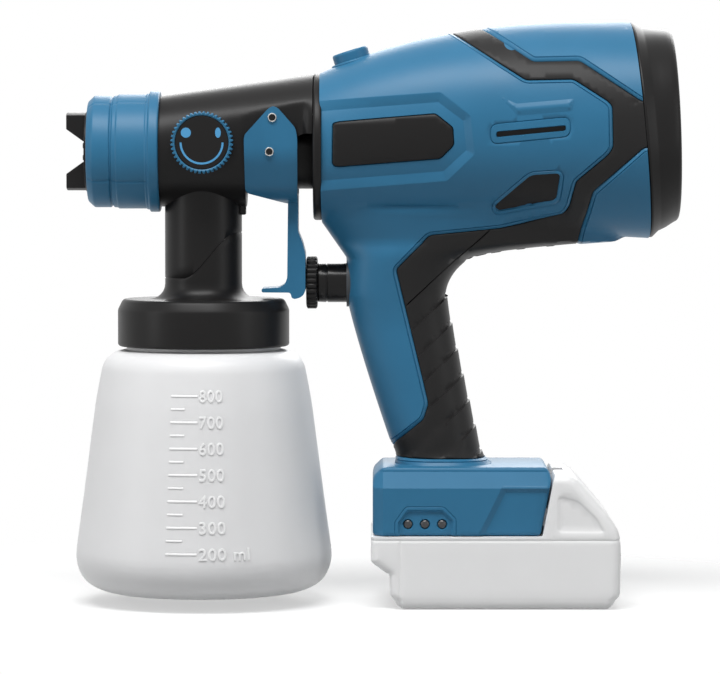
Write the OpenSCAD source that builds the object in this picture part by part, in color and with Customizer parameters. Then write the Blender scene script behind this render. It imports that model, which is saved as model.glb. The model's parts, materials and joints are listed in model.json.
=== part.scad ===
// Handheld cordless paint sprayer with a cup under the gun and a turbine at the rear.
// X runs from the air cap to the rear cap, Z is up, the ground is Z = 0. Sizes in mm.

/* [Spray head] */
// height of the spray axis above the ground
axis_z = 205.1; // [195:0.1:215]
// front face of the union collar
collar_front = -129.1; // [-132:0.1:-126]
// rear face of the union collar
collar_rear = -96.4; // [-100:0.1:-92]
// outer radius of the union collar
collar_r = 25.4; // [24:0.1:27]
// radius of the flange at the rear of the collar
flange_r = 27.4; // [26:0.1:29]
// how far the air cap horns stand in front of the collar
horn_reach = 9.8; // [6:0.1:12]
// outer radius of the air cap horns
horn_r = 17.65; // [14:0.05:18]
// radius of the gun barrel
barrel_r = 25; // [23:0.1:25.2]
// rear end of the gun barrel
barrel_rear = -57.2; // [-60:0.1:-54]
// radius of the air spigot that plugs into the body
spigot_r = 16.9; // [15:0.1:18]
// thickness of moulded walls in the spray head
head_wall = 2.5; // [1.5:0.1:3.5]

/* [Trigger] */
// distance of the trigger pivot along the tool
pivot_x = -45; // [-48:0.1:-42]
// height of the trigger pivot
pivot_z = 220.4; // [216:0.1:222]
// distance of the needle pin along the tool
needle_pin_x = -46.3; // [-48:0.1:-44]
// thickness of each trigger ear
ear_t = 3; // [2:0.1:4]
// width of the finger lever
lever_w = 22; // [16:0.5:28]
// rear face of the finger lever
lever_rear = -30.5; // [-33:0.1:-30]
// side clearance between trigger ears and hood
ear_gap = 0.3; // [0.2:0.05:0.6]

/* [Cup] */
// position of the cup axis along the tool
cup_x = -77; // [-80:0.1:-74]
// underside of the cup above the ground
cup_low = 4.7; // [3:0.1:10]
// greatest radius of the cup
cup_r = 58.4; // [54:0.1:60]
// radius of the cup at its shoulder
shoulder_r = 46.6; // [42:0.1:50]
// wall of the cup
cup_wall = 2.2; // [1.5:0.1:3]
// underside of the lid
lid_low = 116.8; // [112:0.1:120]
// top of the lid
lid_top = 138.2; // [134:0.1:142]
// outer radius of the lid
lid_r = 39; // [37:0.1:42]
// radius of the neck between lid and barrel
neck_r = 17.5; // [15:0.1:20]

/* [Body] */
// front end of the housing
body_front = -24.1; // [-26:0.1:-22]
// seam between housing and rear cap at mid height
body_rear = 120.7; // [115:0.1:124]
// height of the top edge at the front of the housing
front_top = 240.4; // [236:0.1:244]
// height of the lower edge at the front of the housing
front_low = 174.2; // [170:0.1:178]
// height of the top edge at the rear of the housing
rear_top = 264; // [258:0.1:268]
// height of the lower edge at the rear of the housing
rear_low = 165.8; // [160:0.1:170]
// how quickly the back line rises behind the bezel
rise_power = 2.75; // [1.5:0.05:4]
// squareness of the body sections
body_square = 2.15; // [2:0.05:3]
// lean of the seam at the rear cap in degrees
seam_lean = 5.3; // [0:0.1:8]
// lean of the rear face in degrees
back_lean = 2.4; // [0:0.1:6]
// wall of the housing
wall = 3; // [2:0.1:4]
// depth of the soft inlay let into the housing
inlay = 1.4; // [0.8:0.1:2]

/* [Grip and foot] */
// front of the grip at the flow knob
grip_front = -11.9; // [-14:0.1:-10]
// back of the grip at its narrowest
grip_back = 34.2; // [32:0.1:38]
// half width of the grip
grip_half = 19.5; // [17:0.1:23]
// how far the front of the grip leans back down to the foot
front_sweep = 22; // [15:0.5:28]
// how far the back of the grip leans back down to the foot
back_sweep = 16.4; // [10:0.2:24]
// height of the top of the foot
foot_top = 63.5; // [58:0.5:68]
// underside of the foot
foot_low = 33.2; // [30:0.1:38]
// front of the foot
foot_front = -0.8; // [-4:0.1:4]
// rear of the foot
foot_rear = 79.6; // [74:0.1:84]
// half width of the foot
foot_half = 36; // [32:0.5:38]

/* [Battery] */
// rear end of the battery
pack_rear = 111.3; // [104:0.1:114]
// half width of the battery
pack_half = 37.5; // [34:0.1:40]
// top of the battery behind the foot
pack_top = 60.6; // [56:0.1:64]
// half width of the sliding rail head
rail_half = 29.7; // [26:0.1:31]

/* [Controls] */
// height of the plunger and flow knob
plunger_z = 145.6; // [142:0.1:149]
// radius of the plunger
plunger_r = 9; // [7:0.1:10]
// radius of the flow knob
flow_r = 11.9; // [10:0.1:13]
// thickness of the flow knob
flow_t = 5.2; // [4:0.1:7]
// position of the spray shape knob along the tool
dial_x = -76.3; // [-80:0.1:-72]
// height of the spray shape knob
dial_z = 209.2; // [203:0.1:213]
// radius of the spray shape knob
dial_r = 13.9; // [11:0.1:16]
// radius of the release button on top
button_r = 8.4; // [6:0.1:10]
// lean of the release button in degrees
button_lean = 17.5; // [10:0.5:25]

/* [Hidden] */
$fn = 64;
// running clearance on a radius
run = 0.05;
// clearance between faces that pass each other
pass = 0.3;
// overlap used when cutting right through
cut = 1;
ring_n = 32;
pin_r = 2;
needle_r = 1.1;
nose_r = 21.9;
nose_front = -123.5;
barrel_bore = 20.5;
spigot_bore = 14.2;
spigot_end = -6;
guide_r = 7.6;
guide_bore = 6;
bezel_z = 207.2;
bezel_r = 33.2;
bezel_front = -26.9;
hood_rear = -27.5;
socket_r = 19.4;
socket_rear = -3;
ear_in = barrel_r + ear_gap;
ear_out = ear_in + ear_t;
rear_mid = (rear_top + rear_low) / 2;
rear_r = (rear_top - rear_low) / 2;
back_x = body_rear + 16.2;
back_z = rear_mid + 1.8;
back_r = rear_r - 6.1;
cover_r = back_r - 3.5;
turbine_z = rear_mid - 1.4;
scroll_r = rear_r - 8.1;
scroll_front = body_rear - 36.7;
scroll_rear = scroll_front + 28;
duct_rear = scroll_front - 40;
can_r = 29;
motor_r = 22;
impeller_r = scroll_r - 5;
shaft_r = 2.5;
disc_x = scroll_front + 8;
nut_x = disc_x + 12;
pack_front = -0.8;
rail_low = 37.5;
rail_top = 45;
rail_neck = 24;

function mix(a, b, t) = a + (b - a) * t;
function bend(v, e) = sign(v) * pow(abs(v), 2 / e);

// outline of the body at a share t of its length, drawn in by off
function body_top(t) = mix(front_top, rear_top, 1 - pow(1 - min(t, 1), rise_power));
function body_low(t) = mix(front_low, rear_low, t);
function body_mid(t) = (body_top(t) + body_low(t)) / 2;
function body_half(t) = (body_top(t) - body_low(t)) / 2;
function body_ring(t, off, grow) = [for (i = [0 : ring_n - 1])
    let (a = 360 * i / ring_n, h = body_half(t) - off, dz = h * bend(sin(a), body_square))
    [mix(body_front - grow, body_rear + grow, t) - t * dz * tan(seam_lean),
        h * bend(cos(a), body_square), body_mid(t) + dz]];

// outline of the grip at a height z, drawn in by off
waist_z = 140;
flare_z = 155;
saddle_z = 157;
function sweep(z) = max(0, waist_z - z) / (waist_z - 67.5);
function grip_x0(z) = max(body_front, grip_front + front_sweep * pow(sweep(z), 1.15)
    - 0.7 * max(0, z - saddle_z) - grip_toe(z) * 0.5);
function grip_x1(z) = min(body_rear - 8, grip_back + back_sweep * pow(sweep(z), 1.1)
    + 0.0362 * pow(max(0, min(z, flare_z) - waist_z), 2)
    + 0.78 * pow(max(0, z - flare_z), 2) + grip_toe(z));
function grip_toe(z) = 4 * pow(max(0, 70 - z) / 8, 2);
function grip_y(z) = grip_half + 9 * pow(max(0, z - 125) / 50, 1.5) + grip_toe(z);
grip_levels = [60, 64, 67, 72, 90, 110, 128, 141, 149, 154, 157, 160, 163, 168, 178];
function grip_ring(z, off) = [for (i = [0 : ring_n - 1])
    let (a = 360 * i / ring_n, x0 = grip_x0(z) + off, x1 = grip_x1(z) - off)
    [(x0 + x1) / 2 + (x1 - x0) / 2 * bend(cos(a), 2.5), (grip_y(z) - off) * bend(sin(a), 2.5), z]];

// a place in the side view, as shares of the body's length and height there
function on_body(u, v) = [mix(body_front, body_rear, u), mix(body_low(u), body_top(u), v)];
// a place in the side view, as a share of the grip's depth at a height
function on_grip(s, z) = [mix(grip_x0(z), grip_x1(z), s), z];

module loft(rings, flip = false) {
    n = len(rings[0]);
    m = len(rings);
    side = [for (j = [0 : m - 2]) for (i = [0 : n - 1])
        let (k = (i + 1) % n, q = [j * n + i, (j + 1) * n + i, (j + 1) * n + k, j * n + k])
        flip ? [q[3], q[2], q[1], q[0]] : q];
    first = [for (i = [0 : n - 1]) flip ? n - 1 - i : i];
    last = [for (i = [0 : n - 1]) (m - 1) * n + (flip ? i : n - 1 - i)];
    polyhedron(points = [for (r = rings) for (p = r) p], faces = concat(side, [first, last]));
}

module xcyl(x0, x1, r, z, y = 0) {
    translate([x0, y, z]) rotate([0, 90, 0]) cylinder(h = x1 - x0, r = r);
}

module xcone(x0, x1, r0, r1, z) {
    translate([x0, 0, z]) rotate([0, 90, 0]) cylinder(h = x1 - x0, r1 = r0, r2 = r1);
}

module ycyl(y0, y1, r, x, z) {
    translate([x, y0, z]) rotate([-90, 0, 0]) cylinder(h = y1 - y0, r = r);
}

module zcyl(z0, z1, r, x, y = 0) {
    translate([x, y, z0]) cylinder(h = z1 - z0, r = r);
}

// turns a profile of radius and distance about an axis along the tool
module xturn(z) {
    translate([0, 0, z]) rotate([0, 90, 0]) rotate_extrude() children();
}

// raises a side view outline of X and Z to a slab between two widths
module side_slab(y0, y1) {
    translate([0, y1, 0]) rotate([90, 0, 0]) linear_extrude(height = y1 - y0) children();
}

module coil(r, wire, x0, x1, turns, z) {
    pitch = (x1 - x0 - 2 * wire) / turns;
    for (i = [0 : turns])
        translate([x0 + wire + i * pitch, 0, z]) rotate([0, 90, 0])
            rotate_extrude() translate([r, 0]) circle(r = wire, $fn = 12);
}

module foot_block(off) {
    corner = 9 - off;
    hull() {
        for (y = [-1, 1]) {
            for (x = [foot_front + 10, foot_rear - 12])
                zcyl(foot_low, foot_low + 1, corner, x, y * (foot_half - 9), $fn = 24);
            for (x = [foot_front + 11, foot_rear - 9])
                zcyl(56 - off, 57 - off, corner, x, y * (foot_half - 9), $fn = 24);
            for (x = [foot_front + 15, foot_rear - 13])
                zcyl(foot_top - 1 - off, foot_top - off, corner, x, y * (foot_half - 16), $fn = 24);
        }
    }
}

module body_skin(off, grow = 0) {
    steps = 9;
    loft([for (j = [0 : steps]) body_ring(pow(j / steps, 1.5), off, grow)]);
    loft([for (z = grip_levels) grip_ring(z, off)]);
}

// side view outline of the soft inlay: a band behind the name plate that runs down the grip
module inlay_outline() {
    polygon([on_body(0.477, 1.055), on_body(0.561, 0.934), on_body(0.659, 0.818),
        on_body(0.802, 0.816), on_body(0.981, 0.635), on_body(0.985, 0.404), on_body(0.843, 0.206),
        on_body(0.809, 0.048), on_body(0.795, -0.068), on_grip(1.401, 152), on_grip(1.050, 152),
        on_grip(1.032, 138), on_grip(1.032, 63.2), on_grip(-0.145, 67), on_grip(-0.102, 73),
        on_grip(0.037, 73.6), on_grip(0.441, 84.4), on_grip(0.541, 91.5), on_grip(0.552, 102.7),
        on_grip(0.437, 152), on_body(0.342, -0.046), on_body(0.560, 0.012), on_body(0.755, 0.093),
        on_body(0.771, 0.128), on_body(0.790, 0.250), on_body(0.888, 0.381), on_body(0.901, 0.414),
        on_body(0.898, 0.602), on_body(0.885, 0.625), on_body(0.781, 0.728), on_body(0.636, 0.728),
        on_body(0.558, 0.815), on_body(0.426, 0.988), on_body(0.374, 1.087)]);
}

module plate_outline() {
    polygon([on_body(0.039, 0.641), on_body(0.055, 0.644), on_body(0.357, 0.596),
        on_body(0.411, 0.515), on_body(0.414, 0.422), on_body(0.372, 0.352), on_body(0.055, 0.343),
        on_body(0.039, 0.360)]);
}

module vent_outline() {
    polygon([on_body(0.546, 0.483), on_body(0.756, 0.511), on_body(0.756, 0.488),
        on_body(0.546, 0.458)]);
    polygon([on_body(0.548, 0.098), on_body(0.652, 0.273), on_body(0.741, 0.285),
        on_body(0.731, 0.158)]);
}

// thin layer of the body surface, side -1 is the left hand side of the tool
module skin_layer(side, depth) {
    difference() {
        intersection() {
            body_skin(0);
            side_slab(side < 0 ? -60 : 0.01, side < 0 ? -0.01 : 60) children();
        }
        body_skin(depth, 2);
    }
}

screw_spots = [on_body(0.249, 0.849), on_body(0.595, 0.913),
    on_body(0.650, 0.099), on_grip(0.730, 120), on_grip(0.759, 78),
    [foot_front + 26.8, foot_top - 9.5], [foot_rear - 15.6, foot_top - 9.5]];

rib_low = plunger_z + plunger_r + pass;
rib_step = 14;
board_drop = 16.5;

module ring_rib(x, r, z) {
    intersection() {
        body_skin(wall / 2);
        difference() {
            translate([x, -60, rib_low]) cube([3, 120, 130]);
            xcyl(x - cut, x + 3 + cut, r, z);
        }
    }
}

module housing(side) {
    resize([0, 0, 0]) difference() {
        union() {
            difference() {
                union() {
                    body_skin(0);
                    foot_block(0);
                }
                difference() {
                    union() {
                        body_skin(wall, 2);
                        foot_block(wall);
                    }
                    translate([foot_front, -60, 0]) cube([90, 120, rail_top + 2.6]);
                }
            }
            ring_rib(8, 23.4, 207.4);
            ring_rib(duct_rear + rib_step, can_r + run, turbine_z);
            ring_rib(scroll_front - 3, can_r + run, turbine_z);
            // seat of the plunger spring and ledges of the control board
            intersection() {
                body_skin(wall / 2);
                union() {
                    translate([27, -30, 134]) cube([3, 60, 22]);
                    for (y = [-30, 9]) translate([board_x, y, board_z - 3]) cube([board_len, 21, 3]);
                }
            }
            for (s = screw_spots)
                intersection() {
                    union() {
                        body_skin(wall / 2);
                        foot_block(wall / 2);
                    }
                    ycyl(-45, 45, 4, s[0], s[1], $fn = 16);
                }
        }
        translate([-100, side < 0 ? 0 : -100, -10]) cube([300, 100, 300]);
        xcyl(-30, 8, plunger_r + 2.02, plunger_z);
        xcyl(-30, -4, socket_r + 0.02, axis_z);
        place_button() zcyl(-14, 14, button_r + 1.62, 0);
        for (s = screw_spots) ycyl(-8, 60, 1.6, s[0], s[1], $fn = 12);
        for (s = screw_spots) ycyl(12.5, 60, 3.4, s[0], s[1], $fn = 16);
        intersection() {
            difference() {
                translate([-60, -80, -10]) cube([200, 160, 290]);
                body_skin(inlay, 2);
            }
            side_slab(-60, 60) {
                inlay_outline();
                plate_outline();
                vent_outline();
            }
        }
        // sliding rails for the battery
        translate([6, -rail_neck - pass, 30]) cube([90, 2 * (rail_neck + pass), 12]);
        translate([6, -rail_half - pass, rail_low - pass])
            cube([90, 2 * (rail_half + pass), rail_top - rail_low + 2 * pass]);
        translate([foot_rear - 5.6, -7, rail_top - 1]) cube([2.6, 14, 5.2]);
        translate([8.5, -19.5, rail_top - 1]) cube([11, 39, 10]);
        for (i = [-1 : 1]) ycyl(-45, lamp_back, lamp_r, lamp_x + i * lamp_step, lamp_z, $fn = 24);
    }
}

lamp_x = 23.4;
lamp_z = 38.5;
lamp_step = 7.7;
lamp_r = 2;
lamp_back = -31;
board_x = 14;
board_end = duct_rear + rib_step - 1;
board_len = board_end - board_x;
board_z = turbine_z - can_r - board_drop;

module housing_left() {
    color("#3A7CA5") housing(-1);
}

module housing_right() {
    color("#3A7CA5") housing(1);
}

module inlay_left() {
    color("#262424") resize([0, 0, 0]) skin_layer(-1, inlay) inlay_outline();
}

module inlay_right() {
    color("#262424") resize([0, 0, 0]) skin_layer(1, inlay) inlay_outline();
}

module name_plate_left() {
    color("#202020") resize([0, 0, 0]) skin_layer(-1, inlay) plate_outline();
}

module name_plate_right() {
    color("#202020") resize([0, 0, 0]) skin_layer(1, inlay) plate_outline();
}

module side_vents_left() {
    color("#202020") resize([0, 0, 0]) skin_layer(-1, inlay) vent_outline();
}

module side_vents_right() {
    color("#202020") resize([0, 0, 0]) skin_layer(1, inlay) vent_outline();
}

module front_bezel() {
    color("#1E1C1C") difference() {
        xcyl(bezel_front, body_front, bezel_r, bezel_z);
        xcyl(bezel_front - cut, body_front + cut, socket_r, axis_z);
    }
}

// exact socket that takes the twisting spigot of the head
module twist_socket() {
    color("#3B3838") difference() {
        union() {
            xcyl(bezel_front, socket_rear, socket_r, axis_z);
            xcyl(-6, socket_rear, socket_r + 3, axis_z);
        }
        xcyl(bezel_front - cut, -5.8, spigot_r + run, axis_z);
        xcyl(-7, socket_rear + cut, spigot_bore, axis_z);
    }
}

module air_duct() {
    color("#4A4848") difference() {
        hull() {
            xcyl(socket_rear, socket_rear + 1, 20, axis_z, $fn = 40);
            xcyl(duct_rear - 1, duct_rear, can_r - 0.1, turbine_z, $fn = 40);
        }
        hull() {
            xcyl(socket_rear - 0.2, socket_rear + 1, 17.5, axis_z, $fn = 40);
            xcyl(duct_rear - 1, duct_rear + 0.2, can_r - 2.6, turbine_z, $fn = 40);
        }
    }
}

module motor_can() {
    color("#555555") difference() {
        xcyl(duct_rear, scroll_front, can_r, turbine_z);
        difference() {
            xcyl(duct_rear - cut, scroll_front + cut, can_r - 2.4, turbine_z);
            for (x = [duct_rear + 6, scroll_front - 5])
                for (a = [0, 120, 240])
                    translate([x, 0, turbine_z]) rotate([a, 0, 0])
                        translate([0, -1.5, 0]) cube([3, 3, can_r - 1]);
        }
        xcyl(duct_rear - cut, scroll_front + cut, motor_r, turbine_z);
    }
}

module motor() {
    color("#8C8F92") difference() {
        union() {
            xcyl(duct_rear + 4, scroll_front - 4, motor_r, turbine_z);
            xcyl(duct_rear + 1, scroll_front - 0.5, 8, turbine_z);
        }
        xcyl(duct_rear, scroll_front, shaft_r + run, turbine_z);
        for (a = [0 : 45 : 315])
            translate([duct_rear + 3, 0, turbine_z]) rotate([a, 0, 0])
                translate([0, -2, 12]) cube([2.5, 4, 7]);
    }
}

module motor_shaft() {
    color("#C8CACC") xcyl(duct_rear - 1, nut_x + 4, shaft_r, turbine_z);
}

module impeller() {
    color("#DADCDD") difference() {
        union() {
            xcyl(disc_x, disc_x + 2, impeller_r, turbine_z);
            xcyl(disc_x, nut_x, 7, turbine_z);
            for (a = [0 : 40 : 320])
                translate([disc_x + 2, 0, turbine_z]) rotate([a, 0, 0]) translate([0, -0.8, 6.5])
                    cube([9, 1.6, impeller_r - 7]);
        }
        xcyl(disc_x - 1, nut_x + 1, shaft_r, turbine_z);
    }
}

module impeller_nut() {
    color("#C8CACC") difference() {
        translate([nut_x, 0, turbine_z]) rotate([0, 90, 0]) cylinder(h = 3, r = 4.6, $fn = 6);
        xcyl(nut_x - 1, nut_x + 4, shaft_r, turbine_z);
    }
}

module turbine_scroll() {
    color("#4A4848") difference() {
        xcyl(scroll_front, scroll_rear, scroll_r, turbine_z);
        xcyl(scroll_front + 2.5, scroll_rear - 2.5, scroll_r - 2.5, turbine_z);
        xcyl(scroll_front - cut, scroll_front + 4, can_r - 4, turbine_z);
        xcyl(scroll_rear - 4, scroll_rear + cut, 17, turbine_z);
    }
    color("#4A4848") difference() {
        xcyl(scroll_front, scroll_front + 2.5, can_r - 3.9, turbine_z);
        xcyl(scroll_front - cut, scroll_front + 3, 11, turbine_z);
        for (a = [0 : 45 : 315])
            translate([scroll_front - cut, 0, turbine_z]) rotate([a, 0, 0])
                translate([0, 0, 18]) rotate([0, 90, 0]) cylinder(h = 5, r = 5);
    }
}

// ring that closes the housing behind the seam
module rear_cap() {
    color("#262424") resize([0, 0, 0]) difference() {
        union() {
            hull() {
                seam_disc(0, 1.5, rear_r - 0.2);
                seam_disc(4, 1, rear_r - 2.4);
            }
            hull() {
                seam_disc(4, 1, rear_r - 2.6);
                back_disc(-2.5, 1, back_r + 0.3);
                back_disc(-1, 1, back_r - 0.6);
            }
            difference() {
                seam_disc(-6, 7, rear_r - wall - 0.8);
                seam_disc(-7, 9, rear_r - wall - 3);
            }
        }
        hull() {
            seam_disc(-cut, 1, rear_r - 8.6);
            back_disc(-6, 1.6, cover_r - 1);
        }
        back_disc(-4.6, 10, cover_r + 0.02);
    }
}

module seam_disc(x, h, r) {
    translate([body_rear, 0, rear_mid]) rotate([0, -seam_lean, 0])
        translate([x, 0, 0]) rotate([0, 90, 0]) cylinder(h = h, r = r);
}

module back_disc(x, h, r) {
    translate([back_x, 0, back_z]) rotate([0, -back_lean, 0])
        translate([x, 0, 0]) rotate([0, 90, 0]) cylinder(h = h, r = r);
}

slot_r = cover_r - 5.5;
slot_step = 6;
slot_n = floor(slot_r / slot_step - 0.2);

// half length of an air slot of the filter cover
function slot_half(i) = sqrt(slot_r * slot_r - slot_step * slot_step * i * i);

module filter_cover() {
    color("#1E1C1C") difference() {
        back_disc(-4.5, 4.5, cover_r - 0.05);
        for (i = [-slot_n : slot_n])
            translate([back_x, 0, back_z]) rotate([0, -back_lean, 0])
                translate([-6, -slot_half(i), i * slot_step - 1.5])
                    cube([8, 2 * slot_half(i), 3]);
    }
}

module filter_foam() {
    color("#2E3236") difference() {
        back_disc(-14, 9.4, cover_r - 2.5);
        back_disc(-15, 3, 12);
    }
}

module control_board() {
    color("#1E5B3A") translate([board_x, -12, board_z]) cube([board_len, 24, 1.6]);
    color("#222222") translate([board_x + 8, -8, board_z + 1.6]) cube([10, 10, 4]);
    color("#222222") translate([board_end - 19, -6, board_z + 1.6]) cube([14, 12, 3]);
}

module trigger_switch() {
    color("#202020") difference() {
        translate([12, -7, 157]) cube([22, 14, board_z - 157]);
        translate([11, -4, 156]) cube([8, 8, 4]);
    }
}

module plunger_guide() {
    color("#3B3838") difference() {
        xcyl(grip_front, 6, plunger_r + 2, plunger_z);
        xcyl(grip_front - cut, 7, plunger_r + run, plunger_z);
    }
}

flow_front = lever_rear + pass;

module plunger() {
    color("#1E1C1C") difference() {
        xcyl(flow_front + flow_t, 8, plunger_r, plunger_z);
        xcyl(-4, 9, 7.2, plunger_z);
    }
    color("#1E1C1C") xcyl(flow_front + 1, flow_front + flow_t + cut, 3, plunger_z);
}

module plunger_spring() {
    color("#B8BABC") coil(5.6, 0.65, -4, 27, 13, plunger_z);
}

module flow_knob() {
    color("#1E1C1C") difference() {
        xcyl(flow_front, flow_front + flow_t - 0.05, flow_r, plunger_z);
        for (a = [0 : 30 : 330])
            translate([flow_front - cut, 0, plunger_z]) rotate([a, 0, 0])
                translate([0, 0, flow_r + 1.2]) rotate([0, 90, 0]) cylinder(h = flow_t + 2, r = 2);
        xcyl(flow_front + 0.95, flow_front + flow_t + cut, 3 + run, plunger_z);
    }
}

button_x = -8.2;
button_base = 243.2;

module place_button() {
    translate([button_x, 0, button_base]) rotate([0, -button_lean, 0]) children();
}

module button_guide() {
    color("#2E6E97") place_button() difference() {
        zcyl(-11, 3.6, button_r + 1.6, 0);
        zcyl(-9, 5, button_r + run, 0);
        zcyl(-12, 5, 2.2, 0);
    }
}

module release_button() {
    color("#3A7CA5") place_button() {
        difference() {
            zcyl(-3, 8, button_r, 0);
            zcyl(-4, 1, button_r - 1.8, 0);
        }
        zcyl(-12.3, 2, 2, 0);
    }
}

module button_spring() {
    color("#B8BABC") place_button()
        for (i = [0 : 5])
            translate([0, 0, -8.5 + i * 1.8]) rotate_extrude() translate([4.2, 0])
                circle(r = 0.5, $fn = 12);
}

module housing_screws() {
    color("#8C8F92") for (s = screw_spots) {
        ycyl(-6, 12.5, 1.5, s[0], s[1]);
        ycyl(12.5, 14.5, 3, s[0], s[1]);
    }
}

module charge_lamps() {
    color("#C9D3D6") for (i = [-1 : 1])
        ycyl(-foot_half + 1.2, lamp_back, lamp_r - 0.02, lamp_x + i * lamp_step, lamp_z);
}

module terminal_block() {
    color("#202020") translate([8.5, -19.5, rail_top + 0.4]) cube([11, 39, 8]);
    color("#C58B3A") for (y = [-14, -5, 5, 14])
        translate([12, y - 0.5, rail_top - 4]) cube([14, 1, 3.5]);
    color("#C58B3A") for (y = [-14, -5, 5, 14])
        translate([12, y - 0.5, rail_top - 1]) cube([7, 1, 2]);
}

// side view of the battery below the rails
module pack_outline() {
    polygon([[pack_front, foot_low - pass], [pack_front, 21.8], [0.3, 20.5], [6.3, 16.2],
        [7.5, 15.8], [7.9, 6.6], [11.4, 1.1], [13.5, 0], [105.5, 0], [107.4, 1.4], [110.9, 6.6],
        [pack_rear, 25.7], [110.9, 32.1], [109.8, 36.1], [105, 43.2], [91.5, 58.7],
        [88.2, pack_top], [foot_rear + 1, pack_top], [foot_rear + 1, foot_low - pass]]);
}

cell_r = 9;
cell_half = 32.5;

module battery_case() {
    color("#D8D8D8") difference() {
        union() {
            side_slab(-pack_half, pack_half) pack_outline();
            translate([20, -rail_neck, 32]) cube([64, 2 * rail_neck, 9]);
            translate([20, -rail_half, rail_low]) cube([64, 2 * rail_half, rail_top - rail_low - 0.1]);
        }
        translate([12.5, -cell_half - 1, 3]) cube([93, 2 * cell_half + 2, 22]);
        translate([19, -16, rail_top - 5]) cube([13, 32, 6]);
        translate([foot_rear - 6, -6.2, rail_top - 9]) cube([13, 12.4, 30]);
    }
}

module battery_cells() {
    color("#3F8F6B") for (i = [0 : 4])
        ycyl(-cell_half, cell_half, cell_r, 22 + i * 18.4, 3 + cell_r);
}

module battery_latch() {
    color("#3B3838") translate([foot_rear + 0.5, -6, rail_top - 2]) cube([6, 12, 15]);
    color("#3B3838") translate([foot_rear - 5.4, -6, rail_top - 4]) cube([6.4, 12, 4]);
    color("#3B3838") translate([foot_rear - 5.4, -6, rail_top - 1]) cube([2.2, 12, 4.6]);
}

module latch_spring() {
    color("#B8BABC") for (i = [0 : 4])
        translate([foot_rear + 3.6, 0, rail_top - 8.5 + i * 1.5]) rotate_extrude()
            translate([2, 0]) circle(r = 0.5, $fn = 12);
}

module barrel() {
    color("#1E1C1C") difference() {
        union() {
            xcyl(nose_front, collar_rear, nose_r, axis_z);
            xcyl(collar_rear + 0.1, barrel_rear, barrel_r, axis_z);
            xcyl(collar_rear - 1, collar_rear + cut, nose_r, axis_z);
            xcyl(barrel_rear - 1, spigot_end, spigot_r, axis_z);
            ycyl(-26.4, 0, dial_r - 1, dial_x, dial_z);
        }
        xcyl(nose_front - cut, collar_rear, nose_r - 3.4, axis_z);
        difference() {
            xcyl(collar_rear - cut, barrel_rear - head_wall, barrel_bore, axis_z);
            ycyl(-26, -12, dial_r - 1, dial_x, dial_z);
        }
        difference() {
            xcyl(barrel_rear - 4, spigot_end + cut, spigot_bore, axis_z);
            xcyl(barrel_rear - 4, spigot_end - 4, guide_r, axis_z);
            translate([barrel_rear, -20, axis_z - 4]) cube([20, 40, 8]);
            xcyl(spigot_end - 6, spigot_end - 4, guide_r, axis_z);
            translate([spigot_end - 9, -20, axis_z - 1.5]) cube([5, 40, 3]);
        }
        xcyl(barrel_rear - 5, spigot_end + cut, guide_bore, axis_z);
        translate([needle_pin_x, 0, axis_z]) pin_slot(pin_r + 0.1, 2.8);
        ycyl(-30, -10, 4 + run, dial_x, dial_z);
        ycyl(-20, 20, pin_r + 0.02, pivot_x, pivot_z);
        zcyl(axis_z - 30, axis_z - 10, 7.05, cup_x);
        xturn(axis_z) polygon([[spigot_r - 1.5, -15.2], [spigot_r + 1, -15.2],
            [spigot_r + 1, -12.8], [spigot_r - 1.5, -12.8]]);
    }
}

module pin_slot(r, travel) {
    rotate([90, 0, 0]) translate([0, 0, -30]) linear_extrude(height = 60) {
        circle(r = r);
        translate([travel, 0]) circle(r = r);
        translate([0, -r]) square([travel, 2 * r]);
    }
}

module spigot_seal() {
    color("#303030") xturn(axis_z) polygon([[spigot_r - 1.5, -15.1], [spigot_r + 0.03, -15.1],
        [spigot_r + 0.03, -12.9], [spigot_r - 1.5, -12.9]]);
}

module hood_form(off) {
    hull() {
        xcyl(collar_rear + 0.1 - off, collar_rear + 1, barrel_r - off, axis_z);
        xcyl(hood_rear - 2, hood_rear + off / 2, bezel_r - 0.3 - off, bezel_z);
    }
}

module hood() {
    color("#1E1C1C") resize([0, 0, 0]) difference() {
        union() {
            difference() {
                hood_form(0);
                hood_form(head_wall);
            }
            intersection() {
                hood_form(0);
                translate([hood_rear - 2.5, -40, 190]) cube([2.5, 80, 60]);
            }
            intersection() {
                hood_form(0);
                for (y = [-barrel_r, barrel_r - 3])
                    translate([barrel_rear, y, 213.2]) cube([23.6, 3, 30]);
            }
        }
        translate([-60, -50, 150]) cube([70, 100, 63.2]);
        translate([-120, -50, 150]) cube([120 + barrel_rear, 100, 57]);
        xcyl(-120, barrel_rear, barrel_r + run, axis_z);
        xcyl(-60, 0, spigot_r + run, axis_z);
        ycyl(-60, -17, dial_r + pass, dial_x, dial_z);
        for (y = [-50, barrel_r]) translate([barrel_rear - 2, y, 190]) cube([27.6, 25, 70]);
        ycyl(-40, 40, pin_r + 0.02, pivot_x, pivot_z);
    }
}

lug_reach = 19.4;

module neck() {
    color("#1E1C1C") difference() {
        union() {
            zcyl(lid_top, axis_z, neck_r, cup_x);
            translate([cup_x, 0, lid_top]) rotate_extrude() difference() {
                square([neck_r + 8, 8]);
                translate([neck_r + 8, 8]) circle(r = 8);
            }
            translate([cup_x, -4, 176.4]) cube([lug_reach, 8, 10.4]);
        }
        xcyl(-110, barrel_rear + 5, barrel_r, axis_z);
        zcyl(lid_top + 3, axis_z, neck_r - head_wall, cup_x);
        zcyl(lid_top - cut, lid_top + 4, 4.6, cup_x);
    }
}

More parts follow.
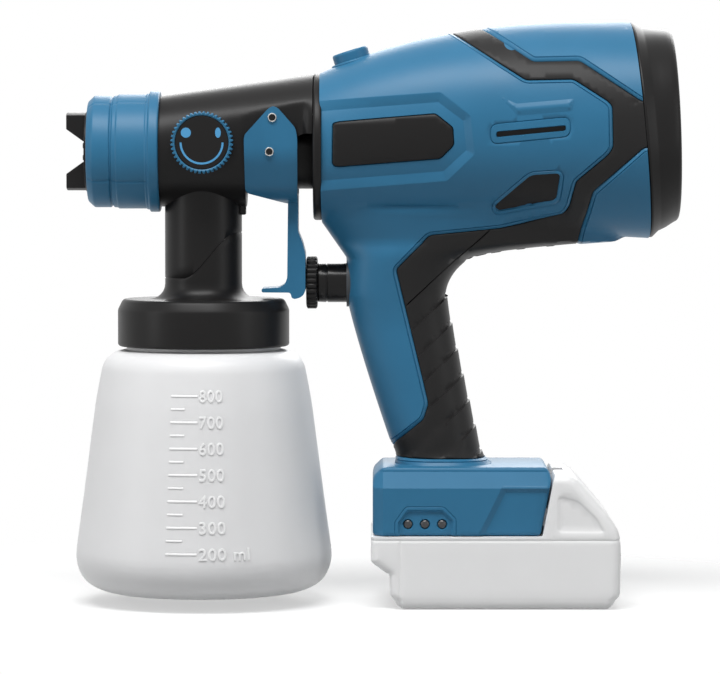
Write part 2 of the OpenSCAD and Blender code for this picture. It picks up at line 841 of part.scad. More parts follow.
module cup_lid() {
    color("#1E1C1C") translate([cup_x, 0, 0]) difference() {
        rotate_extrude() polygon([[0, lid_top - 4], [0, lid_top], [lid_r - 5, lid_top],
            [lid_r - 0.6, lid_top - 3.6], [lid_r, lid_top - 5.5], [lid_r, lid_low],
            [lid_r - 2.6, lid_low], [lid_r - 2.6, lid_top - 4]]);
        translate([0, 0, lid_top - 5]) cylinder(h = 6, r = 4.6);
    }
}

module lid_gasket() {
    color("#B9B2A0") translate([cup_x, 0, lid_top - 5.4]) difference() {
        cylinder(h = 1.4, r = 35.8);
        translate([0, 0, -cut]) cylinder(h = 4, r = 30);
    }
}

// height in the cup as a share of the way from its underside to the lid
function cup_z(s) = mix(cup_low, lid_low, s);

// turned shape of the cup, drawn in by w for the inside
module cup_profile(w) {
    mouth_r = shoulder_r - 11.6;
    polygon([[0, cup_low + w], [cup_r * 0.616, cup_low + w], [cup_r * 0.796 - w / 2, cup_low + 0.9 + w],
        [cup_r * 0.928 - w * 0.8, cup_low + 5 + w / 3], [cup_r - 1 - w, cup_z(0.096)],
        [cup_r - w, cup_z(0.145)], [cup_r - 0.6 - w, cup_z(0.199)], [cup_r * 0.95 - w, cup_z(0.342)],
        [cup_r * 0.901 - w, cup_z(0.538)], [shoulder_r + 2.5 - w, cup_z(0.779)],
        [shoulder_r + 0.6 - w, cup_z(0.868)], [shoulder_r - 0.6 - w, cup_z(0.921) - w / 3],
        [shoulder_r - 2.6 - w / 2, cup_z(0.954) - w / 2], [shoulder_r - 6 - w / 4, cup_z(0.977) - w],
        [mouth_r - w, cup_z(0.988) - w], [mouth_r - w, lid_top - 5.45], [0, lid_top - 5.45]]);
}

module cup() {
    color("#E8E8E8") translate([cup_x, 0, 0]) rotate_extrude() difference() {
        cup_profile(0);
        translate([0, 0.02]) intersection() {
            cup_profile(cup_wall);
            square([80, 200]);
        }
        translate([-1, lid_top - 7]) square([36 - cup_wall, 10]);
    }
}

module suction_tube() {
    color("#D8D4C8") difference() {
        zcyl(14, axis_z - 22, 4.5, cup_x);
        zcyl(13, axis_z - 20, 3.2, cup_x);
    }
}

module strainer() {
    color("#C8CACC") difference() {
        zcyl(9, 22, 6.5, cup_x);
        zcyl(14, 23, 4.52, cup_x);
        zcyl(10.5, 15, 4, cup_x);
        for (a = [0 : 45 : 315])
            translate([cup_x, 0, 10.8]) rotate([0, 0, a]) translate([3, -1, 0]) cube([6, 2, 2.6]);
    }
}

module fluid_body() {
    color("#A9ACAE") difference() {
        union() {
            xcyl(-114, -66, 8, axis_z);
            xcyl(-112, -108, nose_r - 3.42, axis_z);
            zcyl(axis_z - 28, axis_z, 7, cup_x);
        }
        xcyl(-115, -65, 3.4, axis_z);
        zcyl(axis_z - 29, axis_z - 21.9, 4.52, cup_x);
        zcyl(axis_z - 30, axis_z, 3.2, cup_x);
        for (a = [0 : 45 : 315])
            translate([-113, 0, axis_z]) rotate([a, 0, 0]) translate([0, 0, 13])
                rotate([0, 90, 0]) cylinder(h = 6, r = 3.2);
    }
}

module packing_nut() {
    color("#C58B3A") difference() {
        translate([-66, 0, axis_z]) rotate([0, 90, 0]) cylinder(h = 5, r = 7.5, $fn = 6);
        xcyl(-67, -60, needle_r + run, axis_z);
    }
    color("#C58B3A") difference() {
        xcyl(-71, -65, 3.38, axis_z);
        xcyl(-72, -64, needle_r + run, axis_z);
    }
}

module nozzle() {
    color("#C8CACC") difference() {
        union() {
            xcyl(-120, -114, 7, axis_z);
            xcyl(-114.5, -112, 3.38, axis_z);
            xcyl(-130.4, -124, 1.8, axis_z);
            xcone(-125, -120, 1.8, 5, axis_z);
        }
        xcyl(-132, -111, needle_r + 0.1, axis_z);
    }
}

module needle() {
    color("#C8CACC") {
        xcone(-130, -126, 0.5, needle_r, axis_z);
        xcyl(-126, -50, needle_r, axis_z);
        xcyl(-51, -40, guide_bore - run, axis_z);
        ycyl(-ear_out - 0.6, ear_out + 0.6, pin_r, needle_pin_x, axis_z);
    }
}

module needle_spring() {
    color("#B8BABC") coil(4.6, 0.6, -40, -18, 6, axis_z);
}

module spring_seat() {
    color("#C58B3A") difference() {
        xcyl(-18, -10, guide_bore - 0.02, axis_z);
        xcyl(-14, -9, 2, axis_z);
    }
}

module air_cap() {
    color("#1E1C1C") difference() {
        union() {
            xturn(axis_z) polygon([[2.2, -126.4], [2.2, -131.2], [6, -131.2], [9, -130.4],
                [18.1, -130.2], [18.1, -126.4], [20.9, -126.4], [20.9, nose_front - 0.05],
                [12, nose_front - 0.05], [12, -126.4]]);
            intersection() {
                xturn(axis_z) polygon([[4.4, -131.2], [10.1, collar_front - horn_reach],
                    [horn_r, collar_front - horn_reach], [horn_r, -130], [4.4, -130]]);
                translate([-145, -6.5, axis_z - 30]) cube([20, 13, 60]);
            }
        }
        for (a = [0 : 45 : 315])
            translate([-133, 0, axis_z]) rotate([a + 22.5, 0, 0]) translate([0, 0, 7])
                rotate([0, 90, 0]) cylinder(h = 8, r = 0.8);
    }
}

module collar() {
    color("#3A7CA5") difference() {
        xturn(axis_z) polygon([[18.2, collar_front], [21.2, collar_front],
            [collar_r, collar_front + 3], [collar_r, -118.6], [collar_r - 0.8, -118.2],
            [collar_r - 0.8, -117.2], [collar_r, -116.8], [collar_r, -114],
            [collar_r + 0.5, -113.5], [collar_r + 0.5, collar_rear - 4.7],
            [flange_r, collar_rear - 4.7], [flange_r, collar_rear], [nose_r + run, collar_rear],
            [nose_r + run, -126.5], [18.2, -126.5]]);
        for (a = [15 : 60 : 315])
            translate([-113, 0, axis_z]) rotate([a, 0, 0]) translate([0, -6, collar_r - 0.3])
                cube([10.6, 12, 3]);
    }
}

module shape_knob() {
    color("#3A7CA5") difference() {
        ycyl(-35.4, -26.45, dial_r, dial_x, dial_z);
        for (a = [0 : 15 : 345])
            translate([dial_x, -36, dial_z]) rotate([0, a, 0]) translate([dial_r + 0.5, 0, 0])
                rotate([-90, 0, 0]) cylinder(h = 10, r = 1, $fn = 12);
        ycyl(-36, -33.4, 12, dial_x, dial_z);
        ycyl(-34, -26, 4, dial_x, dial_z);
    }
}

module shape_dial() {
    color("#202020") ycyl(-35, -33.4, 11.95, dial_x, dial_z);
}

module shape_valve() {
    color("#A9ACAE") difference() {
        ycyl(-33.4, -8.4, 4, dial_x, dial_z);
        translate([dial_x - 1.5, -11, dial_z - 5]) cube([3, 4, 10]);
    }
}

module ear_outline() {
    polygon([[-44.6, 225.6], [-46.8, 224.4], [-57.3, 212.8], [-57.7, 211], [-57.3, 188],
        [-56.2, 186.3], [-38.3, 181.5], [-33.9, 181.5], [-33.8, 211], [-34.6, 215.7],
        [-42.4, 224.6]]);
}

module lever_outline() {
    polygon([[-38.3, 184.8], [-33.8, 184.8], [-33.8, 169], [-31.9, 164.4], [lever_rear, 159],
        [lever_rear, 142.5], [-31.2, 140.4], [-32.9, 139], [-36.4, 138.5], [-50.3, 141.4],
        [-50.3, 143.3], [-42.5, 144.4], [-39.6, 146], [-38.7, 149]]);
}

module stirrup_front() {
    polygon([[ear_out, 230], [ear_out, 203], [22, 187.5], [16, 183.2], [9, 181.5],
        [-9, 181.5], [-16, 183.2], [-22, 187.5], [-ear_out, 203], [-ear_out, 230],
        [-ear_in, 230], [-ear_in, 203.5], [-19.6, 189.6], [-14.5, 186.4], [-9, 185],
        [9, 185], [14.5, 186.4], [19.6, 189.6], [ear_in, 203.5], [ear_in, 230]]);
}

module trigger() {
    color("#3A7CA5") difference() {
        union() {
            intersection() {
                side_slab(-40, 40) ear_outline();
                translate([-60, 0, 0]) rotate([90, 0, 90]) linear_extrude(height = 30)
                    stirrup_front();
            }
            side_slab(-lever_w / 2, lever_w / 2) lever_outline();
        }
        ycyl(-40, 40, pin_r + run, pivot_x, pivot_z);
        xcyl(-70, barrel_rear + pass, ear_in, axis_z);
        translate([needle_pin_x, 0, axis_z]) rotate([90, 0, 0]) translate([0, 0, -40])
            linear_extrude(height = 80) {
                translate([0, -0.3]) circle(r = pin_r + run);
                translate([0, 0.3]) circle(r = pin_r + run);
            }
    }
}

module pivot_pin() {
    color("#8C8F92") ycyl(-ear_out - 0.6, ear_out + 0.6, pin_r, pivot_x, pivot_z);
}

housing_left();
housing_right();
inlay_left();
inlay_right();
name_plate_left();
name_plate_right();
side_vents_left();
side_vents_right();
front_bezel();
twist_socket();
air_duct();
motor_can();
motor();
motor_shaft();
impeller();
impeller_nut();
turbine_scroll();
rear_cap();
filter_foam();
filter_cover();
control_board();
trigger_switch();
plunger_guide();
plunger();
plunger_spring();
flow_knob();
button_guide();
release_button();
button_spring();
housing_screws();
charge_lamps();
terminal_block();
battery_case();
battery_cells();
battery_latch();
latch_spring();
barrel();
hood();
neck();
cup_lid();
lid_gasket();
cup();
suction_tube();
strainer();
fluid_body();
nozzle();
needle();
needle_spring();
spring_seat();
packing_nut();
air_cap();
collar();
shape_knob();
shape_dial();
shape_valve();
trigger();
pivot_pin();
spigot_seal();
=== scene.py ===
import json
import math

import bmesh
import bpy
import numpy as np
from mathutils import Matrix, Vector
from mathutils.geometry import delaunay_2d_cdt


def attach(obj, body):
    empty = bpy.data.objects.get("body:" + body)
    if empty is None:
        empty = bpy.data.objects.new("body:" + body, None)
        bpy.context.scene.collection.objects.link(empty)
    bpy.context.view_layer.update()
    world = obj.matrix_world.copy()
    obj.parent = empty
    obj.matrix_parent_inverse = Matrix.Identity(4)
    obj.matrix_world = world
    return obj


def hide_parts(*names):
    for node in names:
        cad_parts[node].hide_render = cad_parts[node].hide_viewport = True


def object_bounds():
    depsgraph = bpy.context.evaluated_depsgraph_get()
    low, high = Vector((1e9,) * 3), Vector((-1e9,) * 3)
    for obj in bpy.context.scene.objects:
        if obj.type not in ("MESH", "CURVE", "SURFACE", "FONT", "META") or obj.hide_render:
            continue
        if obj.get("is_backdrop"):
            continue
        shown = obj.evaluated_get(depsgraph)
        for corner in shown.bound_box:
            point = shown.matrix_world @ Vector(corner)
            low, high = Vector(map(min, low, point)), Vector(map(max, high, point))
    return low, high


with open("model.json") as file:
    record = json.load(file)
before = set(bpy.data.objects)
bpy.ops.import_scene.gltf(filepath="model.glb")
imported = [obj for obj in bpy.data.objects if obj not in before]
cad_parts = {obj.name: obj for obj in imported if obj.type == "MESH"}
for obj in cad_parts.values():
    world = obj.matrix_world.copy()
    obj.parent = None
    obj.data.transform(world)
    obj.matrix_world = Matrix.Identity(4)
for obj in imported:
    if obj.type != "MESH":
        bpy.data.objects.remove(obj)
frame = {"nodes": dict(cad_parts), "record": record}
NODES = frame["nodes"]
SLOT_OF = {entry["node"]: entry["material_slot"] for entry in frame["record"]["subparts"]}


def plain(value):
    if isinstance(value, dict):
        return {key: plain(part) for key, part in value.items()}
    if isinstance(value, (str, int, float, bool)) or value is None:
        return value
    return [plain(part) for part in value]


sizes = {"loaded": plain(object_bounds())}
MM = 0.001

# ---------------------------------------------------------------- driving sizes, in millimetres
# X runs from the spray end to the rear, Y across and Z up. A pair of heights is front and rear.
AXIS_Z = 205.1
BODY_FRONT = -24.1
BODY_REAR = 120.7
BODY_TOP = (240.4, 264)
BODY_LOW = (174.2, 165.8)
BODY_BEND = 2.15
SEAM_LEAN = math.tan(math.radians(5.3))
BEZEL_Z = 207.2
REAR_Z = 216.7
REAR_LEAN = 2.4
COVER_BARS = 12
COVER_PITCH = 6

# Meshes of the shells: spacing along outlines and along the lines in them, rows inside the rim, and how far
# each half stays off the middle plane.
OUTLINE_STEP = 1.4
LINE_STEP = 1.3
RIM = (0, 0.03, 0.15, 0.4, 0.8, 1.4, 2.2, 3.2, 4.5)
FOOT_RIM = (0, 0.12, 0.45, 0.9, 1.5)
PACK_RIM = (0, 0.1, 0.4, 0.9, 1.6, 2.6, 4)
HAIRLINE = 0.1

# Relief of the shells, screw wells and the lamps' places.
BAND_SINK = 0.7
BAND_SLOPE = 1.6
RECESS_SINK = 1.8
RECESS_SLOPE = 3.8
RIDGE_LEAN = math.radians(42.3)
RIDGE_PITCH = 10.4
RIDGE_START = (13.9, 134.7)
RIDGE_TOP = 150
CHANNEL = 0.15
STEEP = 0.03
WELL_R = 3.4
WELL_FLOOR = 12.5
BODY_WELLS = ((12, 241), (62, 254), (70, 178), (26, 120), (38, 78))
FOOT_WELLS = ((26, 54), (64, 54))
LAMP_SPOTS = ((15.8, 38.4), (23.4, 38.4), (31.1, 38.4))

# Battery foot and battery: half width and the radius of the long edges.
FOOT_HALF = 36
FOOT_EDGE = 1.5
PACK_HALF = 37.5
PACK_EDGE = 4

# Spray head, air cap, trigger and knobs.
COLLAR_REAR = -96.4
JOINT_TURN = 31.6
BARREL_R = 25
BARREL_REAR = -57.2
SPIGOT_R = 16.9
HOOD_REAR = -27.1
HOOD_R = 32.9
HOOD_WALL = 2.5
EAR_ROOM = (-60.5, -33.2)
HORN_R = 17.65
HORN_HALF = 6.5
AIR_HOLES = 8
NECK_R = 17.5
EAR_IN = 25.3
EAR_OUT = 28.3
DIAL_X = -76.3
DIAL_Z = 209.2
SIGN_RISE = 4.4
KNOB_TEETH = 44
PLUNGER_Z = 145.6
FLOW_FRONT = -30.2
FLOW_RIBS = 28
BUTTON_X = -8.2
BUTTON_BASE = 243.2
BUTTON_LEAN = 17.5

# Cup, lid and the cup's scale.
CUP_X = -77
CUP_WALL = 2.2
LID_TOP = 138.2
SCALE_TOP = 96.7
SCALE_STEP = 11.6
SCALE_LEFT = -14.2
SCALE_FULL = 800
SCALE_R = 55

# The studio, in metres and watts: how much the floor covers for the backdrop's rays and for others, its size
# and where it fades, the room's light, and the lamps as name, place, aim, size and power.
FLOOR_SHARE = 0.5
FLOOR_BOUNCE = 0.4
FLOOR_HALF = 0.7
FLOOR_FADE = (0.14, 0.34)
ROOM = 0.15
STUDIO = (
    ("key", (-0.15, -0.60, 1.32), (0, 0, 0.14), (1.1, 0.5), 22),
    ("left", (-1.10, -0.45, 0.35), (0, 0, 0.14), (0.16, 0.9), 2.6),
    ("right", (1.05, -0.60, 0.35), (0, 0, 0.14), (0.16, 0.9), 2.0),
    ("back", (0.30, 1.50, 0.90), (0, 0, 0.14), (1.2, 0.8), 14),
)
CAMERA_PLACE = (0.00102, -1.82, 0.2103)
CAMERA_AIM = (-0.0058, 0, 0.1207)
CAMERA_LENS = 200

# Finishes, in millimetres: height of the grain and depth of light in the frosted plastics.
GRAIN_HEIGHT = 0.05
SOFT_DEPTH = 4


# ---------------------------------------------------------------- materials
def wire(tree, source, output, target, socket):
    """Joins an output of one shader node to a socket of another."""
    tree.links.new(source.outputs[output], target.inputs[socket])


def slot_name(finish):
    """The material's name without the number that Blender adds to a name in use."""
    return finish.name.split(".")[0]


def material(
    name, colour, rough, metal=0, grain=0, grain_size=0.3, coat=0, spread=0.04, ior=1.5, soft=0, drift=0.06
):
    """A Principled finish with a fine grain in its relief and a slow drift in roughness and tint.
    grain_size is in mm."""
    made = bpy.data.materials.new(name)
    made.use_nodes = True
    tree = made.node_tree
    shader = tree.nodes["Principled BSDF"]
    shader.inputs["Base Color"].default_value = (*colour, 1)
    shader.inputs["Roughness"].default_value = rough
    shader.inputs["Metallic"].default_value = metal
    shader.inputs["IOR"].default_value = ior
    if coat:
        shader.inputs["Coat Weight"].default_value = coat
        shader.inputs["Coat Roughness"].default_value = 0.12
    if soft:
        shader.inputs["Subsurface Weight"].default_value = soft
        shader.inputs["Subsurface Radius"].default_value = (1, 1, 1)
        shader.inputs["Subsurface Scale"].default_value = SOFT_DEPTH * MM
    place = tree.nodes.new("ShaderNodeTexCoord")
    if grain:
        noise = tree.nodes.new("ShaderNodeTexNoise")
        noise.inputs["Scale"].default_value = 1 / (grain_size * MM)
        noise.inputs["Detail"].default_value = 2
        bump = tree.nodes.new("ShaderNodeBump")
        bump.inputs["Strength"].default_value = grain
        bump.inputs["Distance"].default_value = GRAIN_HEIGHT * MM
        wire(tree, place, "Object", noise, "Vector")
        wire(tree, noise, "Fac", bump, "Height")
        wire(tree, bump, "Normal", shader, "Normal")
    if spread:
        slow = tree.nodes.new("ShaderNodeTexNoise")
        slow.inputs["Scale"].default_value = 60
        slow.inputs["Detail"].default_value = 3
        ranged = tree.nodes.new("ShaderNodeMapRange")
        ranged.inputs["To Min"].default_value = max(0.02, rough - spread)
        ranged.inputs["To Max"].default_value = rough + spread
        tint = tree.nodes.new("ShaderNodeMix")
        tint.data_type = "RGBA"
        tint.inputs["A"].default_value = (*(c * (1 - drift) for c in colour), 1)
        tint.inputs["B"].default_value = (*(min(1, c * (1 + drift)) for c in colour), 1)
        wire(tree, place, "Object", slow, "Vector")
        wire(tree, slow, "Fac", ranged, "Value")
        wire(tree, ranged, "Result", shader, "Roughness")
        wire(tree, slow, "Fac", tint, "Factor")
        wire(tree, tint, "Result", shader, "Base Color")
    return made


BLUE = material("blue_shell", (0.027, 0.145, 0.268), 0.4, grain=0.25, grain_size=0.5, ior=1.32)
SOFT = material("black_soft", (0.012, 0.0115, 0.0115), 0.46, grain=0.35, grain_size=0.35, ior=1.28)
BLACK = material("black_plastic", (0.009, 0.0085, 0.0085), 0.38, grain=0.2, grain_size=0.5, ior=1.26)
# The grey plastic is darkened so that the plunger guide's edge, showing at the front of the grip, reads as a
# thin shadow line: painted shade on the grey parts.
SHADE_GREY = material("grey_plastic", (0.06, 0.066, 0.072), 0.42, grain=0.2, ior=1.32)
FROST = material(
    "frosted_plastic", (0.76, 0.76, 0.765), 0.4, grain=0.12, grain_size=0.8, soft=0.35, drift=0.02, ior=1.35
)
MARK = material("frosted_mark", (0.88, 0.88, 0.88), 0.4, grain=0.1, soft=0.2, drift=0.02)
PACK = material(
    "pack_plastic", (0.80, 0.80, 0.80), 0.45, grain=0.15, grain_size=0.6, soft=0.1, drift=0.02, ior=1.4
)
STEEL = material("steel", (0.60, 0.59, 0.57), 0.24, metal=1, grain=0.15, grain_size=0.15)
BRASS = material("brass_parts", (0.76, 0.55, 0.25), 0.25, metal=1, grain=0.1)
ALUMINIUM = material("aluminium_parts", (0.72, 0.73, 0.74), 0.3, metal=1, grain=0.2)
FOAM = material("foam", (0.06, 0.06, 0.065), 0.9, grain=1.0, grain_size=0.9)
RUBBER = material("rubber_seal", (0.02, 0.02, 0.02), 0.6, grain=0.3)
BOARD = material("board", (0.03, 0.16, 0.07), 0.4, grain=0.2)
SIGN = material("sign_blue", (0.07, 0.30, 0.56), 0.4, grain=0.1)
GLOSS = material("black_plastic", (0.008, 0.0075, 0.0075), 0.2, grain=0.05, ior=1.28)
LAMP = material("lamp_lens", (0.02, 0.02, 0.022), 0.3, grain=0.05, coat=0.3)
CELL = material("cell_wrap", (0.05, 0.18, 0.42), 0.3, grain=0.1)
PLASTICS = (BLUE, SOFT, BLACK, SHADE_GREY, FROST, PACK, LAMP, CELL)
FINISH = {slot_name(made): made for made in PLASTICS + (STEEL, BRASS, ALUMINIUM, FOAM, RUBBER, BOARD)}


# ---------------------------------------------------------------- shape helpers, all in millimetres
def rounded(points, radius, steps=4, closed=True):
    """The same outline or profile with each corner turned into a small arc."""
    made = []
    count = len(points)
    for i, corner in enumerate(points):
        if not closed and i in (0, count - 1):
            made.append(tuple(corner))
            continue
        here = Vector(corner)
        back = Vector(points[i - 1]) - here
        ahead = Vector(points[(i + 1) % count]) - here
        reach = min(radius, back.length * 0.45, ahead.length * 0.45)
        start = here + back.normalized() * reach
        end = here + ahead.normalized() * reach
        for step in range(steps + 1):
            t = step / steps
            made.append(tuple(start * (1 - t) ** 2 + here * (2 * t * (1 - t)) + end * t**2))
    return made


def softened(profile, radius, steps):
    """An open profile with rounded corners."""
    return rounded(profile, radius, steps, closed=False)


def evened(points, step, closed=True):
    """The same line with points no further apart than step."""
    made = []
    for a, b in zip(points, points[1:] + points[:1] if closed else points[1:]):
        parts = max(1, math.ceil(math.dist(a, b) / step))
        made += [tuple(a[k] + (b[k] - a[k]) * n / parts for k in (0, 1)) for n in range(parts)]
    if not closed:
        made.append(tuple(points[-1]))
    return made


def area(points):
    """Signed area of a closed outline."""
    return sum(a[0] * b[1] - b[0] * a[1] for a, b in zip(points, points[1:] + points[:1])) / 2


def offset(points, gap):
    """A closed outline moved inwards by gap."""
    turn = 1 if area(points) > 0 else -1
    made = []
    for i, here in enumerate(points):
        normals = []
        for a, b in ((points[i - 1], here), (here, points[(i + 1) % len(points)])):
            run = math.dist(a, b)
            if run > 1e-9:
                normals.append((-(b[1] - a[1]) / run * turn, (b[0] - a[0]) / run * turn))
        nx = sum(n[0] for n in normals) / len(normals)
        nz = sum(n[1] for n in normals) / len(normals)
        scale = gap / max(0.5, nx * nx + nz * nz)
        made.append((here[0] + nx * scale, here[1] + nz * scale))
    return made


def signed(x, z, line, closed=True):
    """Distance of each point from a line: positive inside a closed one, and to the left of an open one."""
    a = np.array(line, float)
    b = np.roll(a, -1, axis=0) if closed else a[1:]
    a = a if closed else a[:-1]
    best = np.full(x.shape, 1e9)
    side = np.ones(x.shape)
    inside = np.zeros(x.shape, bool)
    for (ax, az), (bx, bz) in zip(a, b):
        dx, dz = bx - ax, bz - az
        t = np.clip(((x - ax) * dx + (z - az) * dz) / max(dx * dx + dz * dz, 1e-12), 0, 1)
        gap = np.hypot(x - ax - t * dx, z - az - t * dz)
        near = gap < best
        best = np.where(near, gap, best)
        side = np.where(near, np.sign(dx * (z - az) - dz * (x - ax)), side)
        if closed and az != bz:
            cross = (az > z) != (bz > z)
            inside ^= cross & (x < (bx - ax) * (z - az) / (bz - az) + ax)
    return best * (np.where(inside, 1, -1) if closed else side)


def mix(a, b, t):
    """From a at 0 to b at 1."""
    return a + (b - a) * t


def eased(t):
    """0 to 1 with soft ends."""
    t = np.clip(t, 0, 1)
    return t * t * (3 - 2 * t)


def ramp(distance, reach):
    """0 at a line and 1 from reach on, straight between them, so that both edges stay crisp."""
    return np.clip(distance / reach, 0, 1)


def line_cut(distance, half):
    """1 on a line, falling to 0 at half its width on either side."""
    return np.clip(1 - np.abs(distance) / half, 0, 1)


def merged(parts):
    """Several meshes, each (points, faces), as one."""
    points, faces = [], []
    for some, more in parts:
        faces += [tuple(i + len(points) for i in face) for face in more]
        points += some
    return points, faces


def turns_of(count):
    """Angles in even steps all round."""
    return [2 * math.pi * i / count for i in range(count)]


def round_points(centre, radius, turns):
    """The points of a circle at those angles."""
    return [(centre[0] + radius * math.cos(turn), centre[1] + radius * math.sin(turn)) for turn in turns]


def ring(centre, radius, count=24):
    """A circle as an outline."""
    return round_points(centre, radius, turns_of(count))


def arc(centre, radius, start, end, steps):
    """Points of an arc between two angles in degrees."""
    return round_points(centre, radius, [math.radians(mix(start, end, i / steps)) for i in range(steps + 1)])


def box(left, low, right, high):
    """A rectangle as an outline."""
    return [(left, low), (right, low), (right, high), (left, high)]


def tee(stem, wide, low, step, high):
    """A T as an outline, by its half widths: the stem up to step and the wide part above it."""
    half = [(stem, low), (stem, step), (wide, step), (wide, high)]
    return [(-stem, low)] + half + [(-wide, high), (-wide, step), (-stem, step)]


def dressed(thing, finish, body, nodes=(), slot=None, bevel=0, sharp=35):
    """Gives a piece its finish, shading and body, and hides the CAD nodes that it stands for."""
    thing.data.materials.append(finish)
    for face in thing.data.polygons:
        face.use_smooth = True
    thing.data.set_sharp_from_angle(angle=math.radians(sharp))
    if bevel:
        edge = thing.modifiers.new("edges", "BEVEL")
        edge.width = bevel * MM
        edge.segments = 3
        edge.limit_method = "ANGLE"
        edge.angle_limit = math.radians(30)
        edge.harden_normals = True
    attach(thing, body)
    slot or slot_name(finish)
    if nodes:
        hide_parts(*nodes)
    return thing


def placed(name, data):
    """A new object with that mesh or curve, in the scene."""
    thing = bpy.data.objects.new(name, data)
    bpy.context.collection.objects.link(thing)
    return thing


def solid(name, points, faces, outward=True):
    """A mesh object from points in millimetres. outward turns its faces to the outside."""
    mesh = bpy.data.meshes.new(name)
    mesh.from_pydata([tuple(c * MM for c in p) for p in points], [], faces)
    work = bmesh.new()
    work.from_mesh(mesh)
    bmesh.ops.remove_doubles(work, verts=work.verts, dist=1e-7)
    if outward:
        bmesh.ops.recalc_face_normals(work, faces=work.faces)
    work.to_mesh(mesh)
    work.free()
    return placed(name, mesh)


def grid_faces(rows, columns):
    """Faces of a grid of points kept row by row, each row closed to a ring."""
    faces = []
    for row in range(rows - 1):
        low, high = row * columns, (row + 1) * columns
        for column in range(columns):
            side = (column + 1) % columns
            faces.append((low + column, low + side, high + side, high + column))
    return faces


def turned(name, profile, centre, axis, steps=96, wave=None):
    """A turned piece. profile holds (place along the axis, radius) and centre the other two coordinates.
    wave(angle, place, radius) returns the radius there, for teeth and knurls."""
    points = []
    for along, radius in profile:
        for step in range(steps):
            angle = 2 * math.pi * step / steps
            r = wave(angle, along, radius) if wave else radius
            u, v = centre[0] + r * math.cos(angle), centre[1] + r * math.sin(angle)
            points.append({"X": (along, u, v), "Y": (u, along, v), "Z": (u, v, along)}[axis])
    return solid(name, points, grid_faces(len(profile), steps))


def slab(name, outline, near, far, plane="XZ"):
    """A plate of that outline, which lies in the plane XZ or YZ, between two places on the third axis."""
    count = len(outline)
    if plane == "XZ":
        points = [(u, place, v) for place in (near, far) for u, v in outline]
    else:
        points = [(place, u, v) for place in (near, far) for u, v in outline]
    ends = [tuple(range(count)), tuple(range(count, 2 * count))]
    return solid(name, points, ends + grid_faces(2, count))


def joined(thing, other, way):
    """The solid union, overlap or difference of two pieces, worked into the first."""
    change = thing.modifiers.new("joined", "BOOLEAN")
    change.operation = way
    change.object = other
    change.solver = "EXACT"
    view = bpy.context.evaluated_depsgraph_get()
    mesh = bpy.data.meshes.new_from_object(thing.evaluated_get(view))
    thing.modifiers.clear()
    thing.data = mesh
    bpy.data.objects.remove(other)
    return thing


# ---------------------------------------------------------------- shells, worked out in side view
def side_triangles(base, rim, loops, step):
    """Points and triangles of the area inside an outline. Their edges follow its rim rows and the loops."""
    chains = [(offset(base, gap), True) for gap in rim]
    chains += [(evened(line, LINE_STEP, closed), closed) for line, closed in loops]
    spots, edges = [], []
    for chain, closed in chains:
        first = len(spots)
        spots += chain
        count = len(chain)
        edges += [(first + i, first + (i + 1) % count) for i in range(count if closed else count - 1)]
    low = [min(p[k] for p in base) for k in (0, 1)]
    high = [max(p[k] for p in base) for k in (0, 1)]
    gx, gz = np.meshgrid(np.arange(low[0], high[0], step), np.arange(low[1], high[1], step))
    gx = gx + (np.arange(gx.shape[0]) % 2 * step / 2)[:, None]
    gx, gz = gx.ravel(), gz.ravel()
    keep = signed(gx, gz, base) > rim[-1] + step * 0.4
    for chain, closed in chains[len(rim):]:
        keep &= np.abs(signed(gx, gz, chain, closed)) > step * 0.35
    spots += list(zip(gx[keep], gz[keep]))
    found = delaunay_2d_cdt([Vector(map(float, p)) for p in spots], edges, [], 0, 1e-5)
    flat = np.array([tuple(p) for p in found[0]])
    faces = np.array([f for f in found[2] if len(f) == 3])
    middle = flat[faces].mean(axis=1)
    faces = faces[signed(middle[:, 0], middle[:, 1], base) > 0]
    a, b, c = (flat[faces[:, k]] for k in (0, 1, 2))
    turn = (b[:, 0] - a[:, 0]) * (c[:, 1] - a[:, 1]) - (b[:, 1] - a[:, 1]) * (c[:, 0] - a[:, 0])
    faces = faces[np.abs(turn) > 1e-7]
    turn = turn[np.abs(turn) > 1e-7]
    faces[turn < 0] = faces[turn < 0][:, ::-1]
    return flat, faces


def point_normals(place, faces):
    """The surface's direction at each point."""
    a, b, c = (place[faces[:, k]] for k in (0, 1, 2))
    across = np.cross(b - a, c - a)
    normal = np.zeros_like(place)
    for k in (0, 1, 2):
        np.add.at(normal, faces[:, k], across)
    return normal / np.maximum(np.linalg.norm(normal, axis=1), 1e-12)[:, None]


def add_wall(points, polygons):
    """Adds a wall from the mesh's border to the middle plane."""
    border = {}
    for face in polygons:
        for i in range(3):
            edge = (face[i], face[(i + 1) % 3])
            if edge[::-1] in border:
                del border[edge[::-1]]
            else:
                border[edge] = True
    twin = {}
    for edge in border:
        for i in edge:
            if i not in twin:
                twin[i] = len(points)
                points.append((points[i][0], -HAIRLINE, points[i][2]))
        polygons.append((edge[1], edge[0], twin[edge[0]], twin[edge[1]]))


